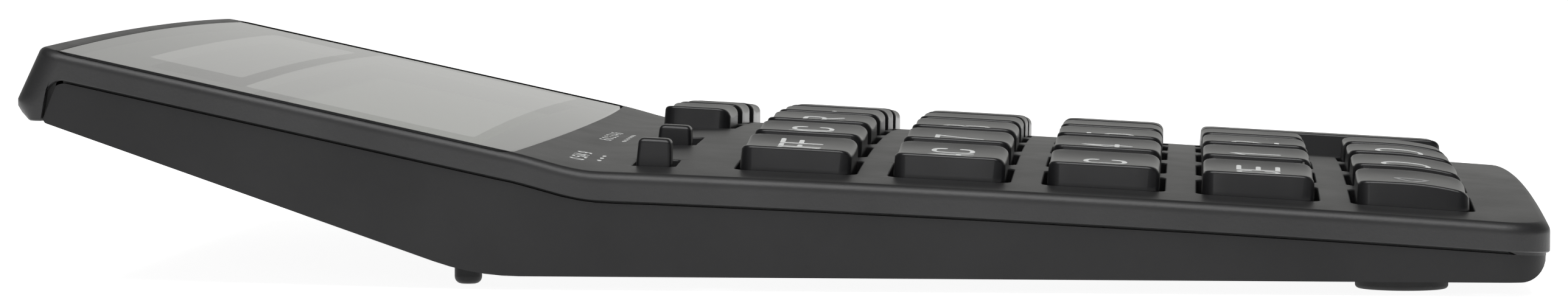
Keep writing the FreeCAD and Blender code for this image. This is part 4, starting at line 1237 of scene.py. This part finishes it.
# First tick's middle, pitch, count and half length.
ROUNDING_TICKS = (-56.8, 3.1, 3, 0.4)
DECIMAL_TICKS = (-24.6, 2.6, 6, 0.2)
ROUNDING_WORDS = (("0", -58.5), ("5/4", -53.8), ("9", -48.9))
WORD_Y = 25.5
WORD_SIZE = (1.5, 1.2)
WORD_STROKE = 0.16
DECIMAL_DIGITS = "602346"
DIGIT_START = -24.3
DIGIT_PITCH = 3.1
DIGIT_Y = 25.4
DIGIT_SIZE = (1.35, 1.1)
DIGIT_STROKE = 0.13
MARK_GAP = 0.5


def make_slider_marks():
    """Printed tick marks and digits beside the two slots."""
    solid = Solid()

    def surface(x, y, up):
        return (x, y, skin(x, y) + up)

    for first, pitch, count, reach in (ROUNDING_TICKS, DECIMAL_TICKS):
        for i in range(count):
            x = first + pitch * i
            line = [Vector((x - reach, TICK_Y)), Vector((x + reach, TICK_Y))]
            add_stroke(solid, line, False, TICK_HALF, surface, PRINT_FOOT, MARK_RAISED)
    for word, x in ROUNDING_WORDS:
        add_text(solid, word, *WORD_SIZE, MARK_GAP, (x, WORD_Y), surface, WORD_STROKE, MARK_RAISED)
    for i, digit in enumerate(DECIMAL_DIGITS):
        add_text(solid, digit, *DIGIT_SIZE, MARK_GAP, (DIGIT_START + DIGIT_PITCH * i, DIGIT_Y),
                 surface, DIGIT_STROKE, MARK_RAISED)
    finished("slider_marks", solid, "case", [INK], 60.0, False)


make_slider_marks()

# -------- carried-over CAD nodes

# Dark and light tone, roughness, scale of the mottling and metallic share.
BRASS = ((0.6, 0.56, 0.46), (0.7, 0.66, 0.55), 0.3, 500, 1.0)
NODE_LOOKS = {
    # the bottom case, battery door and rear feet take the case black, darkened as painted shade
    "bottom_case": CASE_WITH_PAINTED_SHADE,
    "battery_door": CASE_WITH_PAINTED_SHADE,
    "rear_feet": CASE_WITH_PAINTED_SHADE,
    "front_feet": plain_surface("foot_rubber", (0.018, 0.018, 0.018), (0.03, 0.03, 0.03), 0.7),
    "solar_cell": plain_surface("solar_glass", (0.03, 0.016, 0.03), (0.05, 0.03, 0.05), 0.15),
    "lcd_panel": plain_surface("lcd_glass", (0.22, 0.24, 0.20), (0.27, 0.29, 0.245), 0.2),
    "lcd_frame": plain_surface("frame_plastic", (0.12, 0.12, 0.115), (0.16, 0.16, 0.155), 0.6),
    "lcd_ribbon": plain_surface("ribbon_film", (0.42, 0.25, 0.08), (0.55, 0.36, 0.14), 0.35),
    "solar_leads": plain_surface("lead_insulation", (0.35, 0.03, 0.02), (0.45, 0.05, 0.04), 0.4),
    "keypad_sheet": plain_surface("keypad_rubber", (0.28, 0.29, 0.3), (0.36, 0.37, 0.38), 0.65),
    "main_board": plain_surface("board_laminate", (0.2, 0.13, 0.05), (0.3, 0.2, 0.08), 0.5),
    "controller_chip": plain_surface("chip_epoxy", (0.012, 0.012, 0.012), (0.02, 0.02, 0.02),
                                     0.25),
    "rounding_switch": KNOB,
    "decimal_switch": KNOB,
    "coin_cell": plain_surface("cell_steel", (0.5, 0.5, 0.5), (0.65, 0.65, 0.64), 0.3, 500, 1.0),
    "contact_plus": plain_surface("contact_metal", *BRASS),
    "contact_minus": plain_surface("contact_metal_2", *BRASS),
    "screws": plain_surface("screw_steel", (0.1, 0.1, 0.11), (0.18, 0.18, 0.19), 0.35, 700, 1.0),
}
for node_name, node in frame["nodes"].items():
    look = NODE_LOOKS.get(node_name)
    if look is None and "screw" in node_name:
        look = NODE_LOOKS["screws"]
    if look is not None:
        for holder in node.material_slots:
            holder.material = look

# -------- floor, light and camera

FLOOR_REACH = 6.0
FLOOR_DROP = 0.0001
FLOOR_GLOW = 0.9
CAMERA_SPOT = (-0.7664, -0.0493, 0.0507)
CAMERA_YAW = 3.975
CAMERA_PITCH = 2.78
CAMERA_ROLL = 0.1
CAMERA_LENS = 132.53


def make_floor():
    """Pale paper a hair under the feet, lit from within as well."""
    mesh = bpy.data.meshes.new("floor")
    reach = FLOOR_REACH
    drop = -FLOOR_DROP
    mesh.from_pydata([(-reach, -reach, drop), (reach, -reach, drop), (reach, reach, drop),
                      (-reach, reach, drop)], [], [(0, 1, 2, 3)])
    floor = bpy.data.objects.new("floor", mesh)
    bpy.context.scene.collection.objects.link(floor)
    paper = plain_surface("pale_floor", (0.86, 0.86, 0.86), (0.9, 0.9, 0.9), 0.9, 3.0, 0.0, 0.0)
    glow = paper.node_tree.nodes["Principled BSDF"]
    glow.inputs["Emission Color"].default_value = (1.0, 1.0, 1.0, 1.0)
    glow.inputs["Emission Strength"].default_value = FLOOR_GLOW
    mesh.materials.append(paper)


def make_world():
    """Soft surroundings: a pale low band beyond the object, a dark wall over it, and dark ends."""
    world = bpy.data.worlds.new("studio")
    bpy.context.scene.world = world
    world.use_nodes = True
    tree = world.node_tree
    back = tree.nodes["Background"]
    where = tree.nodes.new("ShaderNodeTexCoord")
    split = tree.nodes.new("ShaderNodeSeparateXYZ")
    tree.links.new(where.outputs["Generated"], split.inputs["Vector"])
    far_side = ramp(tree, split.outputs["Z"], [
        (0.0, (0.72, 0.72, 0.7)), (0.30, (0.65, 0.65, 0.63)), (0.42, (0.43, 0.43, 0.42)),
        (0.53, (0.05, 0.05, 0.05)), (0.88, (0.05, 0.05, 0.05)), (1.0, (0.4, 0.4, 0.4))])
    near_side = ramp(tree, split.outputs["Z"], [
        (0.0, (0.5, 0.5, 0.5)), (0.12, (0.16, 0.16, 0.16)), (0.6, (0.2, 0.2, 0.2)),
        (1.0, (0.4, 0.4, 0.4))])
    facing = number_range(tree, split.outputs["X"], 0.0, 1.0)
    facing.inputs["From Min"].default_value = -0.12
    facing.inputs["From Max"].default_value = 0.12
    both = tree.nodes.new("ShaderNodeMix")
    both.data_type = "RGBA"
    tree.links.new(facing.outputs["Result"], both.inputs["Factor"])
    tree.links.new(near_side.outputs["Color"], both.inputs["A"])
    tree.links.new(far_side.outputs["Color"], both.inputs["B"])
    sideways = calculate(tree, "ABSOLUTE", split.outputs["Y"], 0.0)
    dim = number_range(tree, sideways, 1.0, 0.12)
    dim.inputs["From Min"].default_value = 0.45
    dim.inputs["From Max"].default_value = 0.85
    tree.links.new(both.outputs["Result"], back.inputs["Color"])
    tree.links.new(dim.outputs["Result"], back.inputs["Strength"])


def soft_light(name, spot, aim, width, height, power):
    data = bpy.data.lights.new(name, "AREA")
    data.shape = "RECTANGLE"
    data.size = width
    data.size_y = height
    data.energy = power
    light = bpy.data.objects.new(name, data)
    light.location = spot
    light.rotation_mode = "QUATERNION"
    light.rotation_quaternion = (Vector(aim) - Vector(spot)).to_track_quat("-Z", "Y")
    bpy.context.scene.collection.objects.link(light)


def make_camera():
    """Low view from the calculator's left side, level with its keys."""
    yaw = math.radians(CAMERA_YAW)
    pitch = math.radians(CAMERA_PITCH)
    roll = math.radians(CAMERA_ROLL)
    level_ahead = Vector((math.cos(yaw), math.sin(yaw), 0))
    ahead = level_ahead * math.cos(pitch) - Vector((0, 0, math.sin(pitch)))
    right = ahead.cross(Vector((0, 0, 1))).normalized()
    up = right.cross(ahead)
    turned_right = right * math.cos(roll) + up * math.sin(roll)
    turned_up = up * math.cos(roll) - right * math.sin(roll)
    data = bpy.data.cameras.new("camera")
    data.sensor_width = 36.0
    data.lens = CAMERA_LENS
    data.clip_start = 0.01
    data.clip_end = 100.0
    camera = bpy.data.objects.new("camera", data)
    turn = Matrix((turned_right, turned_up, -ahead)).transposed()
    camera.matrix_world = Matrix.Translation(CAMERA_SPOT) @ turn.to_4x4()
    bpy.context.scene.collection.objects.link(camera)
    bpy.context.scene.camera = camera


make_floor()
make_world()
soft_light("overhead", (-0.48, 0.02, 1.0), (0, 0, 0), 1.0, 0.7, 9.5)
soft_light("card", (-0.79, 0.012, 0.215), (-0.05, 0.012, 0.02), 0.11, 0.11, 0.16)
make_camera()
bpy.context.scene.view_settings.view_transform = "Standard"

bpy.context.view_layer.update()
